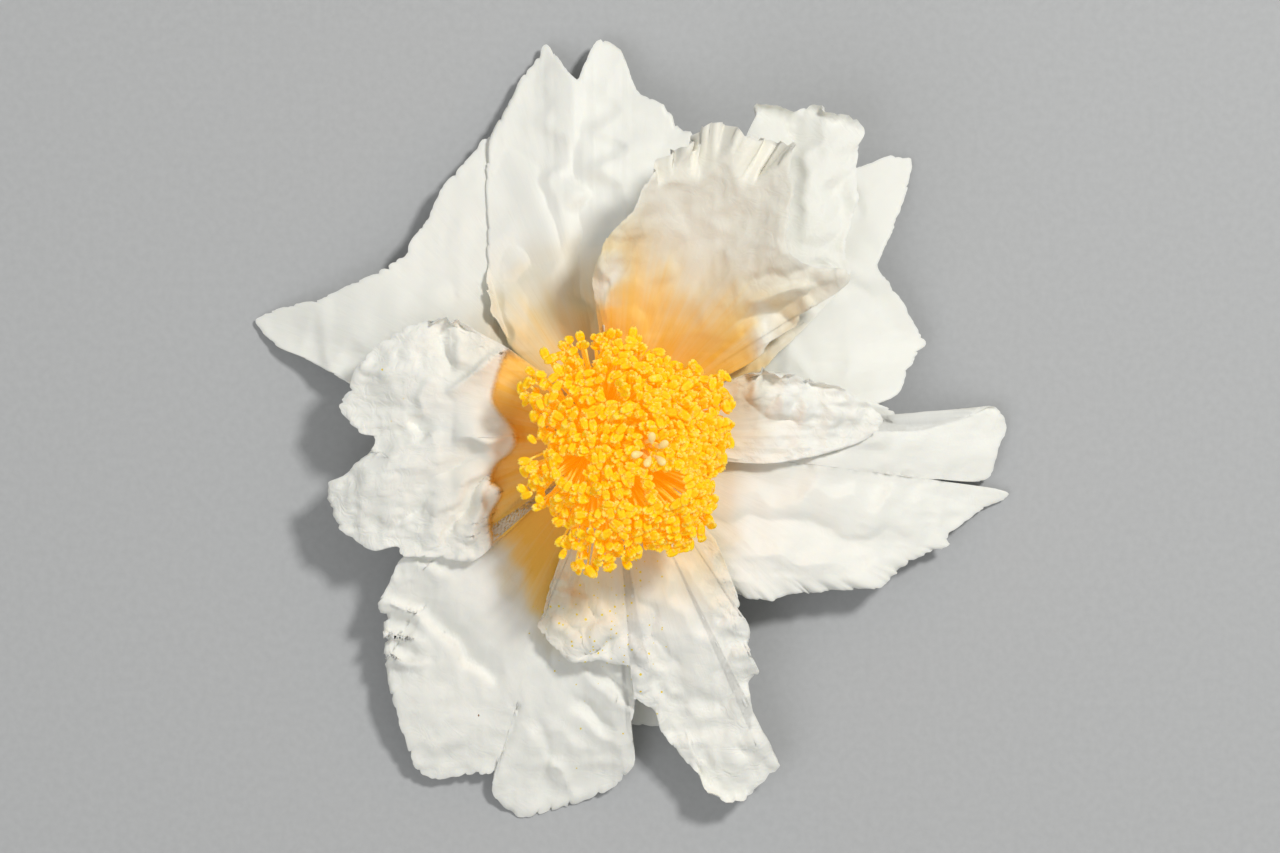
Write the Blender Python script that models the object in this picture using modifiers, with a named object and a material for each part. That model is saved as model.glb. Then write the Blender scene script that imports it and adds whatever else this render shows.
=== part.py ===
"""A single white camellia flower, as picked, lying face up on its stalk end and its drooping petals.

Eleven ruffled petals stand in four whorls on a small receptacle. Five sepals and five bracts lie
under them. The stamens stand in twenty-four bundles, each fused at its foot, round five styles.
Lengths in this file are millimetres, and every mesh is made in metres. Z is up.
"""

import math

import bmesh
import bpy
import numpy as np

MM = 0.001

# The receptacle and stalk are turned about the flower's own axis.
AXIS = (-2.6, -1.6)
STALK_RADIUS = 2.6
RECEPTACLE_RADIUS = 5.5
RECEPTACLE_TOP = 17.4
TURN_STEPS = 24

# Every petal starts at a claw on the receptacle and runs out to its rim.
CLAW_RADIUS = 6.1
CLAW_HEIGHT = 11.0
WHORL_STEP = 1.6
PETAL_THICKNESS = 0.7
PETAL_ALONG = 7
PETAL_ACROSS = 18
CLAW_CROWDING = 1.3

# Petals rest on each other with this much air between them.
AIR_GAP = 0.6
HEAP_CELL = 1.0
HEAP_REACH = 68
HEAP_SLOPE = 0.45
HEAP_SPREAD = 14
CLAW_HOLD = 3.0

# Sepals and bracts: how many, where each starts and ends, and how wide it is.
SEPAL_COUNT = 5
SEPAL_THICKNESS = 0.9
SEPAL_WIDTH = 64.0
SEPAL_ALONG = 5
SEPAL_ACROSS = 6
SEPAL_PROFILE = ((5.9, 8.5), (9.5, 8.2), (13.0, 8.3), (15.5, 9.0))
BRACT_PROFILE = ((4.9, 5.9), (7.5, 5.4), (10.0, 5.7), (12.0, 6.6))

# The stamens: reach of the brush at its head, as (degrees, mm) round the styles.
BRUSH_FOOT_HEIGHT = 17.8
BRUSH_TOP = 35.0
BRUSH_SHOULDER = 6.5
BRUSH_FOOT = (2.7, 6.6)
BRUSH_BORE = 3.2
BRUSH_FLARE = 1.3
BRUSH_HEAD = (3.0, -3.4)
BRUSH_RINGS = ((0.0, 0.36, 4), (0.36, 0.68, 8), (0.68, 1.0, 12))
BRUSH_GAP = 0.5
BRUSH_LEVELS = (0.0, 0.2, 0.45, 0.7, 0.88)
BRUSH_REACH = (
    (0, 11.8), (20, 14.0), (45, 17.6), (76, 14.6), (105, 20.8), (135, 22.4), (155, 23.0),
    (172, 18.2), (198, 22.4), (215, 18.8), (242, 22.6), (268, 15.6), (298, 17.0), (333, 10.6),
)

# The pistil: an ovary and five free styles, each ending in a stigma.
STYLE_COUNT = 5
OVARY_RADIUS = 1.9
OVARY_HEIGHT = 3.4
STYLE_RADIUS = 0.3
STIGMA_SPREAD = 1.7
STIGMA_HEIGHT = 34.8

# Each petal: name, whorl, direction and half width of its claw in degrees, how far its middle
# swells up, and its rim as (x, y, z) points taken anticlockwise as seen from above.
PETALS = (
    ("petal_bottom_back", 0, 270, 48, 1.5, (
        (-15, -18, 11.5), (-16, -29, 9), (-12, -39, 6), (-6, -44.5, 3), (3, -47, 0.4),
        (9, -44, 2.5), (14, -36, 6), (15, -27, 9), (12, -17, 11.5))),
    ("petal_upper_left", 0, 152, 48, 2.0, (
        (-9, 14, 12), (-12, 30, 10.5), (-18, 42, 6), (-22.4, 46, 3.5), (-29.8, 37.2, 5.5),
        (-34.6, 29.9, 7), (-41.8, 24, 6), (-52.8, 19.7, 3), (-58.7, 17.5, 0), (-55.6, 13, 2),
        (-48.7, 9.8, 4.5), (-40, 5, 7.5), (-29, 1, 10), (-17, -3, 11.5))),
    ("petal_upper_right_back", 0, 27, 48, 1.5, (
        (14, -1, 12), (28, 1.5, 11.5), (40.4, 4.7, 9), (43.9, 11.8, 5), (46, 13.5, 3.5),
        (42.9, 18.9, 5), (38.8, 25.3, 7), (41.2, 32, 5), (43.3, 37.4, 2.5), (44.3, 42.2, 0),
        (40.4, 43, 1.5), (32, 40, 5), (20, 32, 9), (8, 20, 11.5))),
    ("petal_lower_left", 1, 232, 47, 3.0, (
        (-20, -9, 14), (-29, -15, 13), (-35.7, -20, 11), (-39.9, -27.6, 9), (-38.9, -38.9, 6.5),
        (-37, -44.3, 5), (-33.9, -52.9, 2), (-31, -54.4, 1.2), (-22.4, -53.9, 2.5),
        (-21.5, -56.6, 1.5), (-17, -61.2, 0), (-8.6, -59.5, 0.8), (-2.6, -56, 3),
        (0.5, -51.9, 5), (0.5, -43.7, 8), (1, -31, 11), (1, -18, 13.5))),
    ("petal_right", 1, 350, 48, 3.0, (
        (8, -16, 14), (16.7, -25.9, 12), (26.4, -25.7, 10.5), (39.9, -23.9, 7), (49.7, -17.6, 4),
        (59, -10.9, 0.8), (54, -8.4, 2.2), (57.7, -2.9, 0.8), (58.7, 0.5, 0), (56, 3.6, 0.8),
        (50.6, 1.2, 3), (43, 0.2, 7), (39.9, 3.6, 9), (30, 6.5, 12), (17, 6, 14))),
    ("petal_top", 1, 100, 48, 3.0, (
        (4, 13, 14), (6, 25, 13.5), (8.5, 36, 12), (9.3, 45, 10), (5.2, 50.5, 8),
        (1.2, 52.9, 6.5), (-2.2, 61.2, 2.5), (-5.3, 60.9, 3.5), (-8.8, 55, 6), (-13.6, 60.6, 0.5),
        (-19, 52.5, 3.4), (-22.4, 45.7, 5), (-22.6, 32.7, 7.5), (-22, 20, 10), (-15, 10, 13))),
    ("petal_upper_right", 2, 55, 44, 3.0, (
        (19, 8, 16), (28, 17, 16), (33.7, 23.6, 15.5), (34, 31.3, 15), (35, 39.8, 13.5),
        (36.8, 45.6, 11), (31.5, 49, 10), (27.7, 50.5, 9.5), (19.9, 50.4, 10.5),
        (21.9, 44.2, 12), (14, 36, 14), (7, 26, 15.5), (2, 14, 16))),
    ("petal_left", 2, 183, 44, 3.5, (
        (-14, 9, 16), (-21, 13.8, 17), (-28.3, 16.9, 17), (-38, 14.4, 15.5), (-44, 6.5, 13),
        (-45.6, 3.4, 12), (-40.7, -1.2, 14), (-45, -7, 12), (-47.8, -11.5, 10.5),
        (-45.8, -15.2, 10), (-37, -18.6, 11.5), (-27.7, -20.3, 13.5), (-22, -17.5, 15),
        (-16, -10, 16))),
    ("petal_bottom", 2, 283, 44, 3.0, (
        (-9, -14, 15.5), (-12.5, -24, 13.8), (-14.2, -30.5, 12.3), (-8.3, -35.7, 11),
        (1.5, -37.4, 10.5), (0.5, -42.3, 9.6), (4.6, -47, 8.5), (10, -54, 6), (15, -56.9, 4.5),
        (20, -55.5, 4.5), (22.5, -52.2, 5.5), (18.6, -46, 8), (19.5, -38, 10.6), (17, -27, 13.4),
        (13, -17, 15.5))),
    ("petal_inner_right", 3, 6, 14, 0.5, (
        (14, -5, 16), (22, -5.2, 14.6), (32, -3.2, 13.2), (38, -0.6, 11.5), (39.2, 1.6, 11),
        (33, 6, 14), (24, 8.9, 17), (15, 5.5, 18))),
    ("petal_inner_upper", 3, 68, 36, -3.5, (
        (14, 9, 19), (18.5, 14, 22), (25, 18, 24.5), (33.7, 23.3, 27), (25, 27, 30.5),
        (24.6, 36.7, 32.5), (23.5, 44, 32.5), (16.2, 45.9, 32), (6.6, 41.4, 31),
        (0.2, 34.3, 29.5), (-5, 27, 27.5), (-6, 22.5, 25), (-3.5, 14, 21))),
)

PETAL_WHITE = (0.90, 0.90, 0.86, 1.0)
SEPAL_BROWN = (0.20, 0.15, 0.07, 1.0)
BRACT_BROWN = (0.13, 0.08, 0.04, 1.0)
STALK_GREEN = (0.12, 0.14, 0.05, 1.0)
STAMEN_YELLOW = (0.95, 0.52, 0.03, 1.0)
STYLE_CREAM = (0.85, 0.78, 0.45, 1.0)


def clear_scene():
    """Remove whatever the file opened with."""
    for item in list(bpy.data.objects):
        bpy.data.objects.remove(item, do_unlink=True)


def new_collection(name):
    """A collection under the scene."""
    group = bpy.data.collections.new(name)
    bpy.context.scene.collection.children.link(group)
    return group


def make_material(name, colour, roughness):
    """A plain plant surface."""
    material = bpy.data.materials.new(name)
    material.use_nodes = True
    shader = material.node_tree.nodes["Principled BSDF"]
    shader.inputs["Base Color"].default_value = colour
    shader.inputs["Roughness"].default_value = roughness
    shader.inputs["Metallic"].default_value = 0.0
    return material


def add_object(group, name, mesh, material):
    """Link a mesh as a named, smooth-shaded object."""
    item = bpy.data.objects.new(name, mesh)
    mesh.materials.append(material)
    mesh.shade_smooth()
    group.objects.link(item)
    return item


def smooth_line(points, count):
    """Evenly spaced points along a Catmull-Rom curve through the given ones."""
    knots = np.array(points, float)
    knots = np.vstack([2 * knots[0] - knots[1], knots, 2 * knots[-1] - knots[-2]])
    t = np.linspace(0, 1, 12, endpoint=False)[:, None]
    spans = []
    for a, b, c, d in zip(knots, knots[1:], knots[2:], knots[3:]):
        bend = (2 * a - 5 * b + 4 * c - d) * t**2 + (3 * b - a - 3 * c + d) * t**3
        spans.append(0.5 * (2 * b + (c - a) * t + bend))
    line = np.vstack(spans + [knots[-2:-1]])
    run = np.concatenate([[0], np.cumsum(np.linalg.norm(np.diff(line, axis=0), axis=1))])
    stations = np.linspace(0, run[-1], count)
    return np.stack([np.interp(stations, run, line[:, k]) for k in range(3)], axis=1)


def claw_line(whorl, direction, half_width, count):
    """The arc on the receptacle that a petal grows from."""
    angle = np.radians(np.linspace(direction - half_width, direction + half_width, count))
    height = np.full(count, CLAW_HEIGHT + WHORL_STEP * whorl)
    x = AXIS[0] + CLAW_RADIUS * np.cos(angle)
    y = AXIS[1] + CLAW_RADIUS * np.sin(angle)
    return np.stack([x, y, height], axis=1)


def petal_sheet(whorl, direction, half_width, swell, rim_points):
    """A petal's underside: rays from claw to rim, swelling by a sine arch in both directions."""
    rim = smooth_line(rim_points, PETAL_ACROSS + 1)
    claw = claw_line(whorl, direction, half_width, PETAL_ACROSS + 1)
    u = np.linspace(0, 1, PETAL_ALONG + 1)[:, None, None] ** CLAW_CROWDING
    sheet = claw + (rim - claw) * u
    across = np.sin(np.pi * np.linspace(0, 1, PETAL_ACROSS + 1))[None, :]
    sheet[:, :, 2] += swell * np.sin(np.pi * u[:, :, 0]) * across
    return sheet


def heap_index(sheet):
    """The cells of the height map that a sheet's points fall in."""
    cells = np.rint(sheet[..., :2] / HEAP_CELL).astype(int) + HEAP_REACH
    return np.clip(cells, 0, 2 * HEAP_REACH)


def lift_over(heap, sheet):
    """Raise a sheet to an air gap above everything already in the heap, but not at its claw."""
    spread = heap.copy()
    fall = HEAP_SLOPE * HEAP_CELL
    for _ in range(HEAP_SPREAD):
        grown = spread.copy()
        grown[1:] = np.maximum(grown[1:], spread[:-1] - fall)
        grown[:-1] = np.maximum(grown[:-1], spread[1:] - fall)
        grown[:, 1:] = np.maximum(grown[:, 1:], spread[:, :-1] - fall)
        grown[:, :-1] = np.maximum(grown[:, :-1], spread[:, 1:] - fall)
        spread = grown
    cells = heap_index(sheet)
    floor = spread[cells[..., 0], cells[..., 1]] + AIR_GAP
    out = np.hypot(sheet[..., 0] - AXIS[0], sheet[..., 1] - AXIS[1]) - CLAW_RADIUS
    share = np.clip(out / CLAW_HOLD, 0, 1)
    lifted = sheet.copy()
    lifted[..., 2] += np.maximum(floor - sheet[..., 2], 0) * share
    return lifted


def add_to_heap(heap, sheet, thickness):
    """Put a sheet's upper face in the height map, measured on a fine resampling of it."""
    fine = 12
    rows = np.linspace(0, sheet.shape[0] - 1, fine * sheet.shape[0])
    columns = np.linspace(0, sheet.shape[1] - 1, fine * sheet.shape[1])
    low_row = np.minimum(rows.astype(int), sheet.shape[0] - 2)
    low_column = np.minimum(columns.astype(int), sheet.shape[1] - 2)
    a = (rows - low_row)[:, None, None]
    b = (columns - low_column)[None, :, None]
    near = sheet[low_row] * (1 - a) + sheet[low_row + 1] * a
    dense = near[:, low_column] * (1 - b) + near[:, low_column + 1] * b
    normal = np.cross(np.gradient(dense, axis=0), np.gradient(dense, axis=1))
    steep = np.abs(normal[..., 2]) / np.maximum(np.linalg.norm(normal, axis=-1), 1e-9)
    top = dense[..., 2] + thickness / np.clip(steep, 0.3, 1)
    cells = heap_index(dense)
    np.maximum.at(heap, (cells[..., 0], cells[..., 1]), top)


def sheet_mesh(name, sheet):
    """A flat grid with its points moved to the sheet's."""
    rows, columns = sheet.shape[:2]
    build = bmesh.new()
    bmesh.ops.create_grid(build, x_segments=rows - 1, y_segments=columns - 1, size=0.5)
    for vertex in build.verts:
        row = round((vertex.co.x + 0.5) * (rows - 1))
        column = round((vertex.co.y + 0.5) * (columns - 1))
        vertex.co = sheet[row, column] * MM
    mesh = bpy.data.meshes.new(name)
    build.to_mesh(mesh)
    build.free()
    return mesh


def add_sheet(group, name, sheet, thickness, material):
    """A petal, sepal or bract: its underside, thickened upwards."""
    item = add_object(group, name, sheet_mesh(name, sheet), material)
    shell = item.modifiers.new("thickness", "SOLIDIFY")
    shell.thickness = thickness * MM
    shell.offset = 1.0
    return item


def sepal_sheet(profile, direction):
    """A rounded, dished scale that follows a profile of (radius, height) out from the stalk."""
    line = smooth_line([(radius, height, 0) for radius, height in profile], 40)
    v = np.linspace(-1, 1, SEPAL_ACROSS + 1)[None, :]
    u = np.linspace(0, 1, SEPAL_ALONG + 1)[:, None]
    reach = u * (1 - 0.34 * np.abs(v) ** 2.5)
    radius = np.interp(reach, np.linspace(0, 1, 40), line[:, 0])
    height = np.interp(reach, np.linspace(0, 1, 40), line[:, 1])
    angle = np.radians(direction + 0.5 * SEPAL_WIDTH * v * (0.86 + 0.14 * np.sin(np.pi * u)))
    x = AXIS[0] + radius * np.cos(angle)
    y = AXIS[1] + radius * np.sin(angle)
    return np.stack([x, y, height], axis=-1)


def add_scales(group, heap):
    """Two whorls of scales, the sepals over the bracts, with each gap covered by a scale."""
    leathery = make_material("sepal", SEPAL_BROWN, 0.7)
    papery = make_material("bract", BRACT_BROWN, 0.8)
    step = 360 / SEPAL_COUNT
    for number in range(SEPAL_COUNT):
        sepal = sepal_sheet(SEPAL_PROFILE, 18 + step * number)
        add_sheet(group, f"sepal_{number + 1}", sepal, SEPAL_THICKNESS, leathery)
        add_to_heap(heap, sepal, SEPAL_THICKNESS)
        bract = sepal_sheet(BRACT_PROFILE, 18 + step * (number + 0.5))
        add_sheet(group, f"bract_{number + 1}", bract, SEPAL_THICKNESS, papery)


def add_petals(group, heap):
    """The petals, outermost first, each laid over the ones before it."""
    white = make_material("petal", PETAL_WHITE, 0.5)
    for name, whorl, direction, half_width, swell, rim in PETALS:
        sheet = petal_sheet(whorl, direction, half_width, swell, rim)
        sheet = lift_over(heap, sheet)
        add_sheet(group, name, sheet, PETAL_THICKNESS, white)
        add_to_heap(heap, sheet, PETAL_THICKNESS)


def turned(group, name, profile, centre, material):
    """A solid turned about an upright axis from (radius, height) points, top to bottom."""
    points = [(radius * MM, 0, height * MM) for radius, height in profile]
    edges = [(k, k + 1) for k in range(len(points) - 1)]
    mesh = bpy.data.meshes.new(name)
    mesh.from_pydata(points, edges, [])
    item = add_object(group, name, mesh, material)
    item.location = (centre[0] * MM, centre[1] * MM, 0)
    screw = item.modifiers.new("turn", "SCREW")
    screw.steps = TURN_STEPS
    screw.render_steps = TURN_STEPS
    screw.use_merge_vertices = True
    screw.merge_threshold = 0.00001
    return item


def add_receptacle(group):
    """The short cut stalk, which widens into the disc that holds every other part."""
    green = make_material("stalk", STALK_GREEN, 0.6)
    profile = (
        (0, RECEPTACLE_TOP), (RECEPTACLE_RADIUS - 0.9, RECEPTACLE_TOP - 0.1),
        (RECEPTACLE_RADIUS - 0.1, RECEPTACLE_TOP - 0.8), (RECEPTACLE_RADIUS, 11.0),
        (RECEPTACLE_RADIUS - 0.3, 9.0), (4.4, 7.4), (4.1, 5.2), (3.2, 3.9), (STALK_RADIUS, 2.6),
        (STALK_RADIUS, 0.5), (STALK_RADIUS - 0.3, 0), (0, 0),
    )
    turned(group, "receptacle_and_stalk", profile, AXIS, green)


def brush_reach(angle):
    """How far the brush's head reaches at an angle in degrees, on a smooth closed curve."""
    degrees = [row[0] for row in BRUSH_REACH]
    reach = [row[1] for row in BRUSH_REACH]
    return np.interp(np.mod(angle, 360), degrees, reach, period=360)


def brush_radius(ring, angle, climb):
    """Distance from the brush's axis: filaments rise from the foot and flare to the head."""
    foot = BRUSH_FOOT[0] + (BRUSH_FOOT[1] - BRUSH_FOOT[0]) * ring
    head = BRUSH_BORE + (brush_reach(angle) - BRUSH_BORE) * ring
    return foot + (head - foot) * climb**BRUSH_FLARE


def brush_place(radius, angle, ring, climb):
    """A point of the brush: its axis leans from the receptacle to the styles' tips."""
    top = BRUSH_TOP - BRUSH_SHOULDER * ring**2
    x = AXIS[0] + (BRUSH_HEAD[0] - AXIS[0]) * climb + radius * np.cos(np.radians(angle))
    y = AXIS[1] + (BRUSH_HEAD[1] - AXIS[1]) * climb + radius * np.sin(np.radians(angle))
    z = BRUSH_FOOT_HEIGHT + (top - BRUSH_FOOT_HEIGHT) * climb
    return (x * MM, y * MM, z * MM)


def bundle_loop(inner, outer, first, last, climb, shrink):
    """One section of a bundle: out along one side and back along the other, gap left all round."""
    segments = max(2, round((last - first) / 15))
    middle = 0.5 * (inner + outer)
    loop = []
    for ring, order in ((outer, 1), (inner, -1)):
        for step in range(segments + 1)[::order]:
            side = 2 * step / segments - 1
            angle = 0.5 * (first + last) + 0.5 * (last - first) * side * shrink
            near = middle + (ring - middle) * shrink
            radius = brush_radius(near, angle, climb) - order * BRUSH_GAP / 2
            angle -= side * math.degrees(BRUSH_GAP / 2 / radius)
            loop.append(brush_place(radius, angle, near, climb))
    return loop


def bundle_mesh(name, inner, outer, first, last):
    """A bundle of stamens: sections from its foot up, drawn in to a rounded head, then capped."""
    sections = [bundle_loop(inner, outer, first, last, climb, 1.0) for climb in BRUSH_LEVELS]
    sections.append(bundle_loop(inner, outer, first, last, 1.0, 0.72))
    size = len(sections[0])
    points = [point for section in sections for point in section]
    faces = [tuple(range(size))[::-1]]
    for level in range(len(sections) - 1):
        low = level * size
        for k in range(size):
            after = (k + 1) % size
            faces.append((low + k, low + after, low + size + after, low + size + k))
    faces.append(tuple(range(len(points) - size, len(points))))
    mesh = bpy.data.meshes.new(name)
    mesh.from_pydata(points, [], faces)
    return mesh


def add_stamens(group):
    """Three rings of bundles, all drawn to one flaring shape so that no two meet."""
    yellow = make_material("stamen", STAMEN_YELLOW, 0.6)
    number = 0
    for inner, outer, count in BRUSH_RINGS:
        step = 360 / count
        for place in range(count):
            number += 1
            name = f"stamen_bundle_{number:02d}"
            mesh = bundle_mesh(name, inner, outer, place * step, (place + 1) * step)
            add_object(group, name, mesh, yellow)


def style_mesh(name, direction):
    """One style as a tube: out of the ovary, up the leaning bore, and out to its stigma."""
    curve = bpy.data.curves.new(name, "CURVE")
    curve.dimensions = "3D"
    curve.bevel_depth = STYLE_RADIUS * MM
    curve.bevel_resolution = 1
    curve.use_fill_caps = True
    climbs = (0.06, 0.25, 0.5, 0.72, 0.88, 0.97, 1.0)
    spread = (0.6, 0.7, 0.8, 1.0, 1.3, STIGMA_SPREAD - 0.1, STIGMA_SPREAD)
    widths = (1.3, 1.2, 1.0, 1.0, 1.1, 1.8, 1.2)
    spline = curve.splines.new("POLY")
    spline.points.add(len(climbs) - 1)
    rise = STIGMA_HEIGHT - BRUSH_FOOT_HEIGHT
    for point, climb, out, width in zip(spline.points, climbs, spread, widths):
        x = AXIS[0] + (BRUSH_HEAD[0] - AXIS[0]) * climb + out * math.cos(direction)
        y = AXIS[1] + (BRUSH_HEAD[1] - AXIS[1]) * climb + out * math.sin(direction)
        point.co = (x * MM, y * MM, (BRUSH_FOOT_HEIGHT + rise * climb) * MM, 1)
        point.radius = width
    tube = bpy.data.objects.new(name, curve)
    bpy.context.scene.collection.objects.link(tube)
    graph = bpy.context.evaluated_depsgraph_get()
    mesh = bpy.data.meshes.new_from_object(tube.evaluated_get(graph))
    bpy.data.objects.remove(tube, do_unlink=True)
    weld = bmesh.new()
    weld.from_mesh(mesh)
    bmesh.ops.remove_doubles(weld, verts=weld.verts, dist=0.00001)
    weld.to_mesh(mesh)
    weld.free()
    return mesh


def add_pistil(group, cutters):
    """An ovary on the receptacle, joined to its five styles."""
    cream = make_material("pistil", STYLE_CREAM, 0.45)
    base = BRUSH_FOOT_HEIGHT
    profile = (
        (0, base + OVARY_HEIGHT), (OVARY_RADIUS * 0.55, base + OVARY_HEIGHT * 0.9),
        (OVARY_RADIUS * 0.95, base + OVARY_HEIGHT * 0.6), (OVARY_RADIUS, base + 1.0),
        (OVARY_RADIUS * 0.8, base), (0, base),
    )
    ovary = turned(group, "pistil", profile, AXIS, cream)
    for number in range(STYLE_COUNT):
        direction = 2 * math.pi * (number + 0.25) / STYLE_COUNT
        mesh = style_mesh(f"style_{number + 1}", direction)
        style = add_object(cutters, mesh.name, mesh, cream)
        style.hide_render = True
        style.display_type = "WIRE"
        join = ovary.modifiers.new(f"join_{mesh.name}", "BOOLEAN")
        join.operation = "UNION"
        join.solver = "EXACT"
        join.object = style


def build():
    """Make the whole flower."""
    clear_scene()
    flower = new_collection("camellia_flower")
    cutters = new_collection("cutters")
    heap = np.full((2 * HEAP_REACH + 1, 2 * HEAP_REACH + 1), -100.0)
    add_receptacle(flower)
    add_scales(flower, heap)
    add_petals(flower, heap)
    add_stamens(flower)
    add_pistil(flower, cutters)


build()
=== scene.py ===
# %% [markdown]
# # A white camellia, petal by petal
# The flower lies face up on a table: eleven ruffled petals in whorls, a golden brush of stamens,
# five pale styles, and brown scales under it all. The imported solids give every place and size.
# This file grows the fine surfaces round them, one kind of piece at a time.

# %% Load the frame
import math

import bpy
import numpy as np
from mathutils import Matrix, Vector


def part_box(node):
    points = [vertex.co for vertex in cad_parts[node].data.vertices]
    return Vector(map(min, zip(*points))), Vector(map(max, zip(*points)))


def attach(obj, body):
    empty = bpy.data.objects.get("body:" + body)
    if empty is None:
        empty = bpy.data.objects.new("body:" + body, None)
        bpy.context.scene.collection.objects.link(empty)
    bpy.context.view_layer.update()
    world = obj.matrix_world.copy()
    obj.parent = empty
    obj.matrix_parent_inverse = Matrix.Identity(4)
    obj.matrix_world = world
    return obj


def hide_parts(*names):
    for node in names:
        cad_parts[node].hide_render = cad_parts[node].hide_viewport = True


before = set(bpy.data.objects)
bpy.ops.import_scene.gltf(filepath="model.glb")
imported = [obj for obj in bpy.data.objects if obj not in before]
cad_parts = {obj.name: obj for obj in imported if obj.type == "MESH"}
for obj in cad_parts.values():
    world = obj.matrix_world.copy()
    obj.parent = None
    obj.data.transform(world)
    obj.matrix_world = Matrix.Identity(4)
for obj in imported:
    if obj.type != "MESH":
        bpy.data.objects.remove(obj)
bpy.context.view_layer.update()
MM = 0.001
stalk_low, stalk_high = np.array(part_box("receptacle_and_stalk")) / MM
AXIS = 0.5 * (stalk_low + stalk_high)[:2]
print("flower's axis, mm:", AXIS.round(2), "receptacle's top:", round(stalk_high[2], 2))

# %% [markdown]
# ## Camera and light
# A flower's face is read straight on, so the camera looks down on it from a metre away with a long
# lens, which keeps near and far petals the same size. A wide lens close up would make the raised
# stamens look too large.

# %% Camera
CAMERA_HEIGHT = 1.0
FOCUS_HEIGHT = 0.015
FIELD_WIDTH = 0.1984
camera_data = bpy.data.cameras.new("camera")
camera_data.sensor_width = 36.0
camera_data.lens = camera_data.sensor_width * CAMERA_HEIGHT / FIELD_WIDTH
camera = bpy.data.objects.new("camera", camera_data)
camera.location = (0.0013, 0.0005, FOCUS_HEIGHT + CAMERA_HEIGHT)
bpy.context.scene.collection.objects.link(camera)
bpy.context.scene.camera = camera
print("lens, mm:", round(camera_data.lens, 1))

# %% [markdown]
# White tissue shows its folds only by shade, so a bare white studio would flatten it. One soft lamp at
# the upper right draws the relief, a weak wide one from the other side keeps the shadows open, and a
# dim, slightly warm sky fills what is left.

# %% Lamps
FLOWER_MIDDLE = (0, 0, 0.015)
WORLD_STRENGTH = 0.32


def add_lamp(name, place, size, power, warmth=(1.0, 1.0, 1.0)):
    """A square soft lamp that shines from its place towards the flower's middle."""
    data = bpy.data.lights.new(name, "AREA")
    data.shape = "SQUARE"
    data.size = size
    data.energy = power
    data.color = warmth
    lamp = bpy.data.objects.new(name, data)
    lamp.location = place
    away = np.array(place) - np.array(FLOWER_MIDDLE)
    tilt = math.atan2(math.hypot(away[0], away[1]), away[2])
    lamp.rotation_euler = (0, tilt, math.atan2(away[1], away[0]))
    bpy.context.scene.collection.objects.link(lamp)
    return lamp


add_lamp("key", (0.42, 0.38, 0.78), 0.13, 5.3, (1.0, 0.985, 0.955))
add_lamp("fill", (-0.55, -0.45, 1.0), 0.9, 3.4, (0.97, 0.98, 1.0))
world = bpy.data.worlds.new("studio")
world.use_nodes = True
sky = world.node_tree.nodes["Background"]
sky.inputs["Color"].default_value = (1.0, 0.99, 0.95, 1)
sky.inputs["Strength"].default_value = WORLD_STRENGTH
bpy.context.scene.world = world
bpy.context.scene.view_settings.view_transform = "Standard"
print("lamps: key and fill; world light:", WORLD_STRENGTH)


# %% [markdown]
# ## Small tools for materials
# Colours are given as sRGB hex, as a painter would give them, and shaders want linear light, so one
# function turns the first into the second. Another adds any node with its settings and its links in
# one line, which keeps each material short enough to read. The same nodes could be wired by hand in
# the shader editor.

# %% Material tools
def colour(code):
    """Linear RGBA from an sRGB hex code: the lower part is divided, the rest raised to 2.4."""
    srgb = np.array([int(code[k:k + 2], 16) for k in (1, 3, 5)]) / 255
    linear = np.where(srgb <= 0.04045, srgb / 12.92, ((srgb + 0.055) / 1.055) ** 2.4)
    return (*linear.tolist(), 1.0)


def add_node(tree, kind, settings=(), **inputs):
    """Add a shader node and return its outputs. settings are its attributes, and stops in them are the
    (position, hex) stops of a ramp. inputs are values, or sockets to link from; i0, i1 and so on are
    inputs by number."""
    node = tree.nodes.new("ShaderNode" + kind)
    for name, value in dict(settings).items():
        if name == "stops":
            elements = node.color_ramp.elements
            while len(elements) < len(value):
                elements.new(0.5)
            for element, (position, code) in zip(elements, value):
                element.position = position
                element.color = colour(code)
        else:
            setattr(node, name, value)
    for name, value in inputs.items():
        key = name.replace("_", " ")
        socket = node.inputs[int(key[1:])] if key[0] == "i" and key[1:].isdigit() else node.inputs[key]
        if isinstance(value, bpy.types.NodeSocket):
            tree.links.new(value, socket)
        else:
            socket.default_value = value
    return node.outputs


def new_material(name, **uniform):
    """A material and its node tree, with the values that are the same all over it."""
    material = bpy.data.materials.new(name)
    material.use_nodes = True
    shader = material.node_tree.nodes["Principled BSDF"]
    for socket, value in uniform.items():
        shader.inputs[socket.replace("_", " ")].default_value = value
    return material, material.node_tree


def finish_material(tree, hue, normal=None):
    """Join the colour that was worked out, and the relief if there is any, to the shader."""
    shader = tree.nodes["Principled BSDF"]
    tree.links.new(hue, shader.inputs["Base Color"])
    if normal is not None:
        tree.links.new(normal, shader.inputs["Normal"])


# %% [markdown]
# ## Numbers that bend
# Every petal is a sheet worked out as one array. These helpers are its grammar: a smooth line through
# a few points, a smooth noise, a folded noise that creases like tissue, and a ridge drawn between two
# places. Each works on whole arrays at once.

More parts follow.
